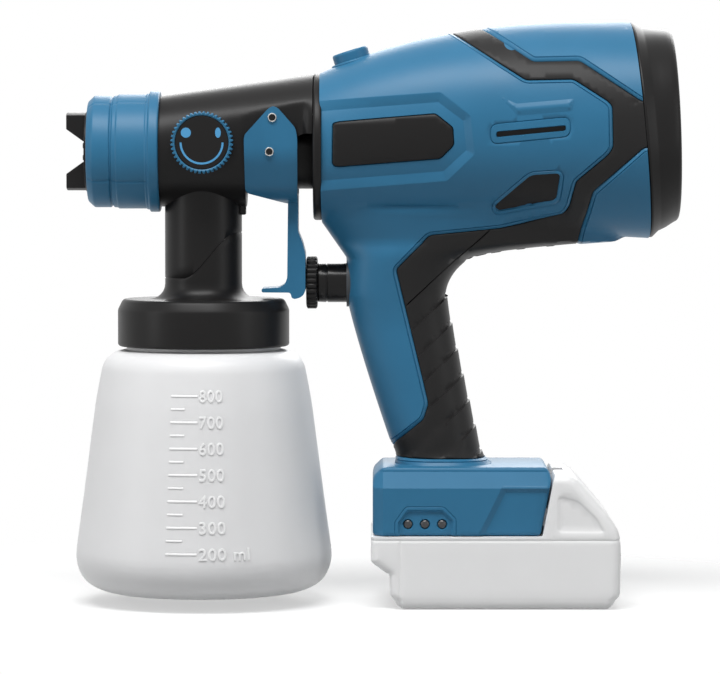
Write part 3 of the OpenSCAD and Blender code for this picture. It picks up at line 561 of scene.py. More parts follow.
def flanks(outline, field, relief, loops, regions, step=2.0, rim=RIM, wall=False, sideways=False):
    """Meshes of one side of a shell, lifted from the side view to its half width by field(x, z).
    relief(x, z) moves the surface along its normal, or straight outwards if sideways. loops are lines that
    the mesh follows, and regions are (name, outline) in order of rank. wall closes each mesh to the middle.
    Returns {name: (points, faces)} of the left side."""
    flat, faces = side_triangles(evened(outline, OUTLINE_STEP), rim, loops, step)
    x, z = flat[:, 0], flat[:, 1]
    place = np.stack([x, -field(x, z), z], axis=1)
    normal = point_normals(place, faces)
    if sideways:
        normal[:] = (0, -1, 0)
    place = place + normal * relief(x, z)[:, None]
    place[:, 1] = np.minimum(place[:, 1], -HAIRLINE)
    middle = flat[faces].mean(axis=1)
    owner = np.full(len(faces), len(regions))
    for rank in reversed(range(len(regions))):
        owner[signed(middle[:, 0], middle[:, 1], regions[rank][1]) > 0] = rank
    made = {}
    for rank, name in enumerate([name for name, _ in regions] + ["rest"]):
        mine = faces[owner == rank]
        if not len(mine):
            continue
        used, index = np.unique(mine, return_inverse=True)
        points = [tuple(p) for p in place[used].tolist()]
        polygons = [tuple(f) for f in index.reshape(-1, 3).tolist()]
        if wall:
            add_wall(points, polygons)
        made[name] = (points, polygons)
    return made


def both_sides(name, points, faces, well_faces=((), ())):
    """The left half and its mirror image as two objects. The left one also has the wells' faces."""
    pair = []
    for side, sign in (("left", 1), ("right", -1)):
        spots, polygons = merged(((points, faces), well_faces)) if side == "left" else (points, faces)
        spots = [(x, y * sign, z) for x, y, z in spots]
        pair.append(solid(f"{name}_{side}_skin", spots, [face[::sign] for face in polygons], outward=False))
    return pair


def closed_halves(name, left, right):
    """One closed solid from a left half and a right half, both given as left ones."""
    shut = [[(x, 0 if y > -2 * HAIRLINE else y, z) for x, y, z in points] for points, _ in (left, right)]
    mirror = [(x, -y, z) for x, y, z in shut[1]]
    return solid(name, *merged(((shut[0], left[1]), (mirror, [face[::-1] for face in right[1]]))))


def screw_wells(spots, depth, first):
    """The wells on the right side, each a tube down to the head of a cross-slotted screw."""
    for number, (x, z) in enumerate(spots, first):
        rim = ring((x, z), WELL_R)
        rise = depth(*(np.array([p[k] for p in rim]) for k in (0, 1)))
        points = [(px, WELL_FLOOR, pz) for px, pz in rim]
        points += [(px, float(py), pz) for (px, pz), py in zip(rim, rise)]
        well = solid(f"screw_well_{number}", points, grid_faces(2, len(rim)) + [tuple(range(len(rim)))])
        dressed(well, SOFT if on_band(x, z) else BLUE, "body", sharp=40)
        profile = [(WELL_FLOOR + 0.1, 0), (WELL_FLOOR + 0.1, 3.0), (14.0, 2.95), (14.5, 2.3), (14.55, 0)]
        head = turned(f"screw_head_{number}", profile, (x, z), "Y", 32)
        for a, b in ((2.0, 0.4), (0.4, 2.0)):
            head = joined(head, slab("slot_tool", box(x - a, z - b, x + a, z + b), 13.6, 15), "DIFFERENCE")
        dressed(head, STEEL, "body", ("housing_screws",) if number == 0 else (), sharp=40)


def on_band(x, z):
    """Whether a point of the side view lies on the black band."""
    return signed(np.array([x]), np.array([z]), BAND)[0] > 0


# ---------------------------------------------------------------- outlines
# Points are (x, z) in side view, and (height, radius) for the cup.
CUP_SIDE = [(4.7, 36), (5.6, 46.5), (9.7, 54.2), (15.5, 57.4), (21, 58.4), (27, 57.8), (43, 55.5), (65, 52.6)]
CUP_SIDE += [(92, 49.1), (102, 47.2), (108, 46), (111.6, 44), (114.2, 40.6), (115.4, 35)]
CUP_SIDE = softened(softened(CUP_SIDE, 9, 3), 3, 2)
BAND = [(30, 263.1), (56.7, 244.5), (68, 237.1), (89, 237.5), (104.1, 227.5), (106, 225.2), (106.4, 206.9)]
BAND += [(104.5, 203.8), (90.3, 191.6), (87.6, 180), (85.2, 176.8), (57, 170.6), (25.4, 167.4), (10.5, 152)]
BAND += [(22.5, 102.7), (25.1, 91.5), (22.9, 84.4), (9.5, 73.6), (7.5, 66.8), (62, 66.8), (62, 150)]
BAND += [(92, 155), (92.5, 164.7), (98, 187), (120.1, 206.9), (126, 207), (126, 227.5), (119, 227.5)]
BAND += [(92, 246), (71.3, 245.6), (57.1, 255.5), (44, 264.5)]
BAND = rounded(BAND, 1.6)
PLATE = [(-18.5, 218.1), (-16.1, 218.9), (27.6, 222.3), (35.4, 215.9), (35.9, 207.8), (29.8, 201.5)]
PLATE = rounded(PLATE + [(-16.1, 197.8), (-18.5, 198.7)], 1.2)
RECESS = rounded([(-40, 226.7), (30.1, 231.5), (43.5, 221.0), (45.3, 204.0), (33.0, 192.1), (-40, 186.2)], 1)
SLOT = rounded([(54.9, 213.9), (85.3, 216.7), (85.3, 214.5), (54.9, 211.6)], 0.8)
SLOT_RIM = rounded([(52.0, 217.2), (87.4, 220.6), (87.6, 211.9), (52.2, 208.4)], 3.6)
WINDOW = rounded([(54.9, 180.9), (55.6, 178.5), (81.7, 183.1), (83.2, 195.2), (70.3, 194.4)], 2.2)
STEP_UP = rounded([(56.1, 229.9), (63.6, 226.3), (89.2, 228.5), (88.3, 223.2), (64.0, 221.3)], 0.6)
FOOT = [(0, 33.2), (75.2, 33.2), (79.6, 55.5), (80.2, 58), (79.6, 61.2), (77.8, 63.5), (4.5, 63.5), (0.6, 60)]
FOOT = rounded(FOOT + [(0, 57)], 1.6)
FOOT_PANEL = rounded([(58.1, 55.5), (86, 55.2), (86, 29), (44.9, 29)], 0.6)
LAMP_POCKET = rounded([(11.1, 29), (11.1, 39.1), (15.4, 45.1), (31.4, 45.1), (36.2, 40.3), (36.2, 29)], 0.8)
PACK_SIDES = [(-0.8, 21.8), (0.3, 20.5), (6.3, 16.2), (7.5, 15.8), (7.9, 6.6), (11.4, 1.1), (13.5, 0)]
PACK_SIDES += [(105.5, 0), (107.4, 1.4), (110.9, 6.6), (111.3, 25.7), (110.9, 32.1), (109.8, 36.1)]
PACK_SIDES += [(105, 43.2), (91.5, 58.7), (88.2, 60.6)]
PACK_ROUND = rounded([(-0.8, 70)] + PACK_SIDES + [(60, 60.6), (60, 70)], 1.5)
PACK_OUTLINE = [(-0.8, 32.9)] + PACK_SIDES + [(81.8, 60.6), (80.9, 58), (76.2, 33.4), (75.8, 32.9)]
PACK_OUTLINE = rounded(PACK_OUTLINE, 0.9)
TOWER_PANEL = rounded([(82.6, 34.5), (82.6, 52), (92, 49.8), (101, 41), (104.5, 34.5)], 2.5)


# ---------------------------------------------------------------- the housing
def body_top(t):
    """Height of the turbine body's top, from 0 at its front to 1 at its rear."""
    return mix(*BODY_TOP, 1 - (1 - np.clip(t, 0, 1)) ** 2.75)


def body_low(t):
    """Height of the turbine body's underside."""
    return mix(*BODY_LOW, t)


def body_depth(x, z):
    """Half width of the turbine body at a point of the side view."""
    t = np.clip((x - BODY_FRONT) / (BODY_REAR - BODY_FRONT), 0, 1)
    for _ in range(8):
        middle = (body_top(t) + body_low(t)) / 2
        t = np.clip((x + t * (z - middle) * SEAM_LEAN - BODY_FRONT) / (BODY_REAR - BODY_FRONT), 0, 1)
    half = (body_top(t) - body_low(t)) / 2
    reach = np.clip(np.abs(z - (body_top(t) + body_low(t)) / 2) / half, 0, 1)
    return half * (1 - reach**BODY_BEND) ** (1 / BODY_BEND)


def grip_toe(z):
    """How far the handle spreads where it meets the battery foot."""
    return 4 * (np.maximum(0, 70 - z) / 8) ** 2


def grip_edges(z):
    """Front and rear of the handle at a height."""
    sweep = np.maximum(0, 140 - z) / 72.5
    toe = grip_toe(z)
    front = -11.9 + 22 * sweep**1.15 - 0.7 * np.maximum(0, z - 157) - 0.5 * toe
    rear = 34.2 + 16.4 * sweep**1.1 + 0.0362 * np.maximum(0, np.minimum(z, 155) - 140) ** 2
    rear = rear + 0.78 * np.maximum(0, z - 155) ** 2 + toe
    return np.maximum(front, BODY_FRONT), np.minimum(rear, 112.7)


def grip_depth(x, z):
    """Half width of the handle at a point of the side view."""
    front, rear = grip_edges(z)
    half = 19.5 + 9 * (np.maximum(0, z - 125) / 50) ** 1.5 + grip_toe(z)
    reach = np.clip(np.abs(x - (front + rear) / 2) / ((rear - front) / 2), 0, 1)
    return half * (1 - reach**2.5) ** (1 / 2.5)


def housing_depth(x, z):
    """Half width of body and handle together, with a soft join."""
    body = np.where(z > 165, body_depth(x, np.maximum(z, 165)), 0)
    grip = np.where(z < 181, grip_depth(x, np.minimum(z, 181)), 0)
    soft = np.maximum(np.minimum(np.minimum(body, grip), 7), 1e-3)
    blend = np.maximum(soft - np.abs(body - grip), 0)
    return np.maximum(body, grip) + blend**2 / (4 * soft)


def housing_outline():
    """The side view of body and handle as a closed outline."""
    points = []
    for step in range(61):
        t = step / 60
        half = (body_top(t) - body_low(t)) / 2
        points.append((mix(BODY_FRONT, BODY_REAR, t) - t * half * SEAM_LEAN, float(body_top(t))))
    for step in range(31):
        t = 1 - step / 30 * 0.07
        half = (body_top(t) - body_low(t)) / 2
        spot = (mix(BODY_FRONT, BODY_REAR, t) + t * half * SEAM_LEAN, float(body_low(t)))
        if spot[0] > 113.5:
            points.append(spot)
    heights = [164.2 - step * 1.4 for step in range(75) if 164.2 - step * 1.4 > 62]
    points += [(float(grip_edges(z)[1]), z) for z in heights]
    points += [(float(grip_edges(z)[0]), z) for z in reversed(heights) if z < 165]
    points += [(float(grip_edges(z)[0]), z) for z in (167, 169, 171, 173)]
    return [tuple(map(float, p)) for p in reversed(points)]


def ridge_place(x, z):
    """How far a point lies above the first grip line, measured square to the lines."""
    return (z - RIDGE_START[1]) * math.cos(RIDGE_LEAN) - (x - RIDGE_START[0]) * math.sin(RIDGE_LEAN)


def ridge_spot(along, above):
    """The point that lies so far along the grip lines and so far above the first of them."""
    x = RIDGE_START[0] - above * math.sin(RIDGE_LEAN) + along * math.cos(RIDGE_LEAN)
    return (x, RIDGE_START[1] + above * math.cos(RIDGE_LEAN) + along * math.sin(RIDGE_LEAN))


def ridges(x, z):
    """Relief of the handle's slanting grip ridges: narrow channels, with a rising face between them."""
    across = ridge_place(x, z)
    phase = (across / RIDGE_PITCH) % 1
    face = -0.6 * (1 - phase) / (1 - CHANNEL)
    rise = np.where(phase < CHANNEL, mix(0, -0.85, np.clip(phase / STEEP, 0, 1)), face)
    rise = rise * (across < STEEP * RIDGE_PITCH) * (1 - eased((z - RIDGE_TOP) / 6))
    return rise - 0.7 * line_cut(across, 0.35)


def housing_relief(x, z):
    """Everything pressed into or standing off the housing's surface."""
    band = signed(x, z, BAND)
    rise = -BAND_SINK * ramp(band + BAND_SLOPE, BAND_SLOPE) - 0.5 * line_cut(band + BAND_SLOPE, 0.3)
    rise = rise - 0.5 * line_cut(band, 0.25) + 0.35 * ramp(band, 0.5) + ridges(x, z) * ramp(band, 0.8)
    rise = rise - RECESS_SINK * ramp(signed(x, z, RECESS), RECESS_SLOPE)
    plate = signed(x, z, PLATE)
    rise = rise - 0.6 * line_cut(plate, 0.3) + 0.45 * ramp(plate, 0.6)
    pill = signed(x, z, SLOT_RIM)
    rise = rise + 0.25 * ramp(pill, 0.5) - 0.4 * line_cut(pill, 0.35)
    rise = rise - 1.6 * ramp(signed(x, z, SLOT) + 0.3, 0.3)
    window = signed(x, z, WINDOW)
    rise = rise - 0.45 * line_cut(window + 1.8, 0.35) - 1.0 * ramp(window + 0.4, 0.4)
    return rise + 0.9 * ramp(signed(x, z, STEP_UP), 1.6)


def housing():
    """The two blue shells with their black band, ridged grip, name plate, slot and window."""
    loops = []
    for line, gaps in (
        (BAND, (-BAND_SLOPE - 0.3, -BAND_SLOPE, 0.3 - BAND_SLOPE, -0.25, 0, 0.25, 0.5)),
        (RECESS, (-0.25, 0, 0.25, RECESS_SLOPE - 0.25, RECESS_SLOPE, RECESS_SLOPE + 0.25)),
        (PLATE, (-0.3, 0, 0.3, 0.6)),
        (SLOT_RIM, (-0.35, 0, 0.35)),
        (SLOT, (-0.3, 0)),
        (WINDOW, (-2.15, -1.8, -1.45, -0.4, 0)),
        (STEP_UP, (-0.2, 0, 1.6)),
    ):
        loops += [(offset(line, gap), True) for gap in gaps]
    lift = 0.35 / RIDGE_PITCH
    for turn in range(-9, 1):
        for share in (0, STEEP, CHANNEL - STEEP, CHANNEL) if turn else (-lift, 0, lift):
            run = [ridge_spot(along, (turn + share) * RIDGE_PITCH) for along in (-20, 60)]
            loops.append((clipped(run, BAND), False))
    loops += [(ring(spot, WELL_R), True) for spot in BODY_WELLS]
    loops = [entry for entry in loops if len(entry[0]) > 1]
    regions = [(f"well_{k}", ring(spot, WELL_R)) for k, spot in enumerate(BODY_WELLS)]
    regions += [("name_plate", PLATE), ("slot", SLOT), ("window", WINDOW), ("band", BAND)]
    made = flanks(housing_outline(), housing_depth, housing_relief, loops, regions, step=2.4)
    wells = {"rest": [], "band": []}
    for k, (x, z) in enumerate(BODY_WELLS):
        wells["band" if on_band(x, z) else "rest"].append(made[f"well_{k}"])
    for name, finish, nodes in (
        ("rest", BLUE, ("housing_left", "housing_right")),
        ("band", SOFT, ("inlay_left", "inlay_right")),
        ("name_plate", BLACK, ("name_plate_left", "name_plate_right")),
        ("slot", BLACK, ()),
        ("window", BLACK, ("side_vents_left", "side_vents_right")),
    ):
        label = "housing" if name == "rest" else name
        pair = both_sides(label, *made[name], merged(wells.get(name, ())))
        for k, thing in enumerate(pair):
            dressed(thing, finish, "body", nodes[k:k + 1], sharp=50)
    screw_wells(BODY_WELLS, lambda x, z: housing_depth(x, z) + housing_relief(x, z) - HAIRLINE, 0)


def clipped(run, outline):
    """The part of a straight run that lies inside an outline and below the body, as evenly spaced points."""
    points = evened(run, 1.0, closed=False)
    x, z = (np.array([p[k] for p in points]) for k in (0, 1))
    keep = (signed(x, z, outline) > 0.3) & (z < RIDGE_TOP + 21)
    return [p for p, good in zip(points, keep) if good]


# ---------------------------------------------------------------- battery foot and battery
def edge_drop(inset, radius):
    """How far a rounded edge falls back at a distance from it."""
    inset = np.clip(inset, 0, radius)
    return radius - np.sqrt(np.maximum(radius**2 - (radius - inset) ** 2, 0))


def foot_depth(x, z):
    """Half width of the battery foot: straight sides, a sloping shoulder and a bevelled front corner."""
    width = FOOT_HALF - np.clip(z - 54.6, 0, 6.9) + 0 * x
    return width - 5.5 * (1 - np.clip(x, 0, 4.6) / 4.6) - edge_drop(signed(x, z, FOOT), FOOT_EDGE)


def foot_relief(x, z):
    """The foot's sunk rear panel."""
    return -1.6 * ramp(signed(x, z, FOOT_PANEL), 2.6)


def lamp_relief(x, z):
    """The sunk rear panel, and the lamp pocket that only the left side has."""
    pocket = signed(x, z, LAMP_POCKET)
    rise = foot_relief(x, z) - 1.3 * ramp(pocket, 1.1) - 0.3 * line_cut(pocket + 1.2, 0.3)
    for spot in LAMP_SPOTS:
        rise = rise - 0.9 * eased((2.5 - np.hypot(x - spot[0], z - spot[1])) / 0.5)
    return rise


def foot():
    """The battery foot of the housing: lamps on its left side, screw wells on its right."""
    panel = [(offset(FOOT_PANEL, gap), True) for gap in (-0.25, 0, 0.25, 2.35, 2.6, 2.85)]
    panel += [([(-0.5, h), (81, h)], False) for h in (54.2, 54.6, 55.0, 61.1, 61.5)]
    panel += [([(d, 33), (d, 64)], False) for d in (0.3, 4.3, 4.6, 4.9)]
    pocket = [(offset(LAMP_POCKET, gap), True) for gap in (-1.5, -1.2, -0.9, 0, 0.25, 1.1)]
    pocket += [(ring(spot, r), True) for spot in LAMP_SPOTS for r in (2.0, 2.25, 2.5)]
    left = flanks(FOOT, foot_depth, lamp_relief, panel + pocket, [], 2.6, FOOT_RIM, True, True)["rest"]
    right = flanks(FOOT, foot_depth, foot_relief, panel, [], 2.6, FOOT_RIM, True, True)["rest"]
    shell = closed_halves("battery_foot_skin", left, right)
    shell = joined(shell, slab("slot_tool", tee(24.3, 30, 20, 37.2, 45.3), 6, 96, "YZ"), "DIFFERENCE")
    shell = joined(shell, slab("block_tool", box(8.5, 44, 19.5, 54), -19.5, 19.5), "DIFFERENCE")
    shell = joined(shell, slab("catch_tool", box(74, 44, 76.6, 49.2), -7, 7), "DIFFERENCE")
    bore = [(WELL_FLOOR, 0), (WELL_FLOOR, WELL_R + 0.04), (60, WELL_R + 0.04), (60, 0)]
    for spot in FOOT_WELLS:
        shell = joined(shell, turned("well_tool", bore, spot, "Y", 24), "DIFFERENCE")
    dressed(shell, BLUE, "body", sharp=40)
    screw_wells(FOOT_WELLS, lambda x, z: foot_depth(x, z) - HAIRLINE, len(BODY_WELLS))


def pack_depth(x, z):
    """Half width of the battery: rounded at its outer edges, square where it meets the foot."""
    return PACK_HALF - edge_drop(signed(x, z, PACK_ROUND), PACK_EDGE)


def pack_relief(x, z):
    """The battery's shallow joint line, lower band and side panel."""
    rise = -0.35 * np.exp(-(((z - 31.2) / 0.5) ** 2)) * (x < 111)
    rise = rise - 0.3 * np.exp(-(((x - 12.3) / 0.5) ** 2)) * (z < 31)
    rise = rise - 0.5 * eased((6 - z) / 2) * 0.6
    return rise - 0.6 * eased(signed(x, z, TOWER_PANEL) / 1.2)


def battery():
    """The battery pack, with its rails, its contact recess and the room of its latch."""
    loops = [([(-2, 31.2 + d), (112, 31.2 + d)], False) for d in (-1, -0.5, 0, 0.5, 1)]
    loops += [([(12.3 + d, 0), (12.3 + d, 31)], False) for d in (-1, -0.5, 0, 0.5, 1)]
    loops += [([(8, h), (111, h)], False) for h in (4, 5, 6)]
    loops += [(offset(TOWER_PANEL, gap), True) for gap in (0, 0.6, 1.2)]
    half = flanks(PACK_OUTLINE, pack_depth, pack_relief, loops, [], 3.2, PACK_RIM, wall=True)["rest"]
    case = closed_halves("battery_case_skin", half, half)
    case = joined(case, slab("rail_tool", tee(24, 29.7, 30, 37.5, 44.9), 20, 80.4, "YZ"), "UNION")
    case = joined(case, slab("terminal_tool", box(19, 40, 32, 46), -16, 16), "DIFFERENCE")
    case = joined(case, slab("latch_tool", box(73.6, 36, 86.6, 66), -6.2, 6.2), "DIFFERENCE")
    dressed(case, PACK, "battery", ("battery_case",), sharp=40)


# ---------------------------------------------------------------- cup, lid and the cup's scale
def cup():
    """The cup and its screw lid."""
    outer = [(4.7, 0)] + CUP_SIDE + [(132.75, 35)]
    inner = [(h + (CUP_WALL if h < 60 else 0), max(0, r - CUP_WALL)) for h, r in reversed(outer)]
    dressed(turned("cup_skin", outer + inner, (CUP_X, 0), "Z", 128), FROST, "cup", ("cup",), sharp=60)
    lid = [(116.8, 35.6), (116.8, 38.2), (117.6, 39), (133.2, 39), (134.4, 38.5), (137.4, 37)]
    lid += [(LID_TOP, 36), (LID_TOP, 20)]
    dressed(turned("cup_lid_skin", softened(lid, 1.0, 3), (CUP_X, 0), "Z", 144), BLACK, "head", ("cup_lid",))


def cup_radius(height):
    """Outer radius of the cup's skin at a height."""
    return float(np.interp(height, [p[0] for p in CUP_SIDE], [p[1] for p in CUP_SIDE]))


def cup_spot(across, height, rise):
    """A point on the cup's left side, which faces the camera. across is measured round the wall."""
    r = cup_radius(height)
    turn = across / SCALE_R
    return (CUP_X + (r + rise) * math.sin(turn), -(r + rise) * math.cos(turn), height)


def scale_mark(name, middle, half, length):
    """One raised bar of the cup's scale, following the wall."""
    low, high = middle - half, middle + half
    section = [(low - 0.1, -0.3), (low, 0.16), (low + 0.12, 0.3)]
    section += [(high - 0.12, 0.3), (high, 0.16), (high + 0.1, -0.3)]
    size = len(section)
    count = max(2, math.ceil(length / 1.2))
    places = [mix(SCALE_LEFT, SCALE_LEFT + length, i / count) for i in range(count + 1)]
    points = [cup_spot(across, z, rise) for across in places for z, rise in section]
    faces = grid_faces(count + 1, size) + [tuple(range(size)), tuple(range(count * size, (count + 1) * size))]
    dressed(solid(name, points, faces), MARK, "cup", slot="frosted_plastic", sharp=50)


def scale():
    """The cup's moulded scale in millilitres: long and short marks with raised numbers."""
    for k in range(7):
        level = SCALE_TOP - k * SCALE_STEP
        amount = SCALE_FULL - 100 * k
        scale_mark(f"mark_{amount}", level, 0.45, 13.4)
        if k < 6:
            scale_mark(f"half_mark_{amount - 50}", level - SCALE_STEP / 2, 0.4, 7.0)
        label = bpy.data.curves.new(f"number_{amount}", "FONT")
        label.body = str(amount) + (" ml" if k == 6 else "")
        label.size = 7.6
        label.extrude = 0.3
        label.bevel_depth = 0.1
        label.resolution_u = 3
        label.space_character = 1.08
        holder = placed(f"number_{amount}", label)
        view = bpy.context.evaluated_depsgraph_get()
        mesh = bpy.data.meshes.new_from_object(holder.evaluated_get(view))
        bpy.data.objects.remove(holder)
        for vertex in mesh.vertices:
            a, b, c = vertex.co
            vertex.co = Vector(cup_spot(SCALE_LEFT + 14.0 + a, level - 2.7 + b, c)) * MM
        dressed(placed(f"number_{amount}", mesh), MARK, "cup", slot="frosted_plastic", sharp=50)


# ---------------------------------------------------------------- spray head
def head_point(x, turn, inset=0):
    """A point of the head's skin: a barrel below and a widening cone above, joined softly at the sides.
    Both are flattened there to leave room for the trigger's ears."""
    share = np.clip((x - COLLAR_REAR) / (HOOD_REAR - COLLAR_REAR), 0, 1)
    round_r = BARREL_R - inset
    cone = mix(BARREL_R, HOOD_R, share) - inset
    lift = mix(AXIS_Z, BEZEL_Z, share)
    weight = float(eased((math.sin(turn) + 0.05) / 0.7))
    y = mix(round_r * math.cos(turn), cone * math.cos(turn), weight)
    z = mix(AXIS_Z + round_r * math.sin(turn), lift + cone * math.sin(turn), weight)
    flat = float(eased((x - EAR_ROOM[0]) / 1.6) * (1 - eased((x - EAR_ROOM[1]) / 5.8)))
    # A nearly full flat is a plane of its own. Short of that it draws the round skin inwards.
    limit = mix(60, round_r, flat) if flat > 0.98 else mix(abs(y), min(abs(y), round_r), flat)
    return (x, max(-limit, min(limit, y)), z)


def barrel():
    """The head's skin from the collar back to the trigger, its rear wall and the spigot behind it."""
    turns = turns_of(128)
    places = [COLLAR_REAR + d for d in (0, 0.4, 6, 14, 22, 30)] + [BARREL_REAR - d for d in (2.6, 0.6, 0.15)]
    points = [head_point(x, turn) for x in places for turn in turns]
    points += [head_point(BARREL_REAR, turn, 0.5) for turn in turns]
    points += [(BARREL_REAR, SPIGOT_R * math.cos(turn), AXIS_Z + SPIGOT_R * math.sin(turn)) for turn in turns]
    thing = solid("barrel_skin", points, grid_faces(len(places) + 2, len(turns)))
    dressed(thing, BLACK, "head", sharp=40)
    profile = [(BARREL_REAR, SPIGOT_R), (-15.3, SPIGOT_R), (-15.3, SPIGOT_R - 1.4), (-12.7, SPIGOT_R - 1.4)]
    profile += [(-12.7, SPIGOT_R), (-6.6, SPIGOT_R), (-6, SPIGOT_R - 0.6), (-6, 14.2), (-40, 14.2)]
    dressed(turned("spigot_skin", softened(profile, 0.3, 2), (0, AXIS_Z), "X"), BLACK, "head", ("barrel",))


def hood():
    """The hood over the trigger pivot: an open shell with a curved lower edge."""
    steps = 56
    places = [BARREL_REAR + d for d in (-0.15, 1, 2.4, 6, 12, 18, 21, 23, 24.4, 25.4, 26.2, 27, 28, 29)]
    places += [HOOD_REAR - 0.3, HOOD_REAR]
    points = []
    for x in places:
        edge = mix(213.6, 215.6, float(eased((x + 36) / 6)))
        share = (x - COLLAR_REAR) / (HOOD_REAR - COLLAR_REAR)
        low = math.asin((edge - mix(AXIS_Z, BEZEL_Z, share)) / mix(BARREL_R, HOOD_R, share))
        turns = [low + (math.pi - 2 * low) * i / steps for i in range(steps + 1)]
        inner = [head_point(x, turn, HOOD_WALL) for turn in reversed(turns)]
        for end in (0, -1):
            inner[end] = (x, inner[end][1], edge)
        points += [head_point(x, turn) for turn in turns] + inner
    count = 2 * (steps + 1)
    last = (len(places) - 1) * count
    faces = grid_faces(len(places), count)
    faces += [(last + i, last + i + 1, last + count - 2 - i, last + count - 1 - i) for i in range(steps)]
    dressed(solid("hood_skin", points, faces), BLACK, "head", ("hood",), sharp=40)


def neck():
    """The neck with its curved parting line, the flare on the lid and the lug at the rear."""
    levels = [("flare", i / 6) for i in range(7)] + [("low", i / 6) for i in range(1, 7)]
    levels += [("groove", 0), ("groove", 1)] + [("high", i / 8) for i in range(9)]
    turns = turns_of(96)
    points = []
    for part, t in levels:
        for turn in turns:
            line = LID_TOP + 9.6 + 20.7 * float(eased((NECK_R * math.cos(turn) + 9) / 25))
            r = NECK_R
            if part == "flare":
                r = NECK_R + 7 * (1 - math.sin(t * math.pi / 2))
                z = LID_TOP + 7 * (1 - math.cos(t * math.pi / 2))
            elif part == "low":
                z = mix(LID_TOP + 7, line - 0.4, t)
            elif part == "groove":
                z = line - 0.15 + 0.3 * t
                r = NECK_R - 0.25
            else:
                z = mix(line + 0.4, AXIS_Z - 12, t)
            points.append((CUP_X + r * math.cos(turn), r * math.sin(turn), z))
    skin = solid("neck_skin", points, grid_faces(len(levels), len(turns)))
    dressed(skin, BLACK, "head", ("neck",), sharp=50)
    dressed(slab("neck_lug", box(CUP_X, 176.4, CUP_X + 19.4, 186.8), -4, 4), BLACK, "head", bevel=0.7)


def collar_wave(angle, along, radius):
    """The collar's four shallow axial joints."""
    if along > COLLAR_REAR - 5.2 or along < -127 or radius < 24:
        return radius
    gap = abs(math.degrees(angle) % 90 - JOINT_TURN) * math.radians(radius)
    return radius - 0.45 * math.exp(-((gap / 0.45) ** 2))


def collar():
    """The blue union collar with its groove, joints and rear flange."""
    profile = [(-129.1, 18.8), (-129.1, 22.6), (-126.2, 25.3), (-118.7, 25.3), (-118.3, 24.6)]
    profile += [(-117.7, 24.6), (-117.3, 25.3), (-115.7, 25.4), (-115.2, 25.9), (-102.6, 25.9)]
    profile += [(-102.2, 26.3), (-101.2, 26.3), (-100.9, 27.4), (-96.9, 27.4), (COLLAR_REAR, 26.9)]
    profile += [(COLLAR_REAR, 20)]
    skin = turned("collar_skin", softened(profile, 0.6, 3), (0, AXIS_Z), "X", 360, collar_wave)
    dressed(skin, BLUE, "collar", ("collar",))


def air_cap():
    """The black air cap: a face with air holes round the nozzle and two slanting horns."""
    profile = [(-126.4, 2.2), (-131.2, 2.2), (-131.2, 6), (-130.4, 9), (-130.2, 18.1)]
    profile += [(-126.4, 18.1), (-126.4, 12)]
    face = turned("air_cap_face", softened(profile, 0.35, 3), (0, AXIS_Z), "X")
    dressed(face, BLACK, "air_cap", ("air_cap",))
    rim = [(-131.3, 0.8), (-131.35, 1.0), (-131.2, 1.25), (-130.6, 1.3)]
    for k in range(AIR_HOLES):
        turn = math.radians(360 / AIR_HOLES * k + 22.5)
        spot = (7 * math.cos(turn), AXIS_Z + 7 * math.sin(turn))
        dressed(turned(f"air_hole_{k}", rim, spot, "X", 16), BLACK, "air_cap")
    crown = [(y, math.sqrt(HORN_R**2 - y * y)) for y in (-HORN_HALF, -4.4, -2.2, 0, 2.2, 4.4, HORN_HALF)]
    for name, sign in (("upper", 1), ("lower", -1)):
        points = []
        for x, low in ((-138.9, 10.1), (-136.3, 8.25), (-131.2, 4.6), (-129.8, 4.4)):
            row = [(-HORN_HALF, low)] + crown + [(HORN_HALF, low)]
            points += [(x, y, AXIS_Z + sign * z) for y, z in row]
        count = len(row)
        faces = grid_faces(4, count) + [tuple(range(count)), tuple(range(3 * count, 4 * count))]
        dressed(solid(f"air_horn_{name}", points, faces), BLACK, "air_cap", bevel=0.35, sharp=30)


def knob_wave(angle, along, radius):
    """Small teeth all round the rim of the spray shape knob."""
    if radius < 13.2:
        return radius
    phase = (angle * KNOB_TEETH / (2 * math.pi)) % 1
    return radius - 0.85 * float(eased(abs(phase - 0.5) * 4 - 0.6))


def shape_knob():
    """The spray shape knob: toothed ring, black face, and raised blue signs for round, flat and turning."""
    centre = (DIAL_X, DIAL_Z)
    rim = [(-26.45, 13.4), (-26.45, 13.7), (-27, 13.95), (-34.8, 13.95), (-35.4, 13.3), (-35.4, 12.6)]
    rim += [(-35.0, 12.1), (-33.6, 12.0)]
    teeth = turned("shape_knob_skin", rim, centre, "Y", KNOB_TEETH * 12, knob_wave)
    dressed(teeth, BLUE, "shape_knob", ("shape_knob",), sharp=45)
    face = softened([(-33.5, 12.05), (-34.75, 12.0), (-34.95, 11.5), (-35.0, 0)], 0.2, 2)
    dressed(turned("shape_dial_skin", face, centre, "Y"), BLACK, "shape_knob", ("shape_dial",))
    signs = {
        "round_sign": ring((DIAL_X - 7.0, DIAL_Z + SIGN_RISE), 2.25),
        "flat_sign": [(DIAL_X + 7.3 + 0.55 * a, DIAL_Z + SIGN_RISE + b) for a, b in ring((0, 0), 2.3)],
        "turn_sign": arc(centre, 9.8, 180, 360, 40) + arc(centre, 8.9, 360, 180, 40),
    }
    for name, outline in signs.items():
        dressed(slab(name, outline, -35.05, -34.9), SIGN, "shape_knob", slot="blue_shell")


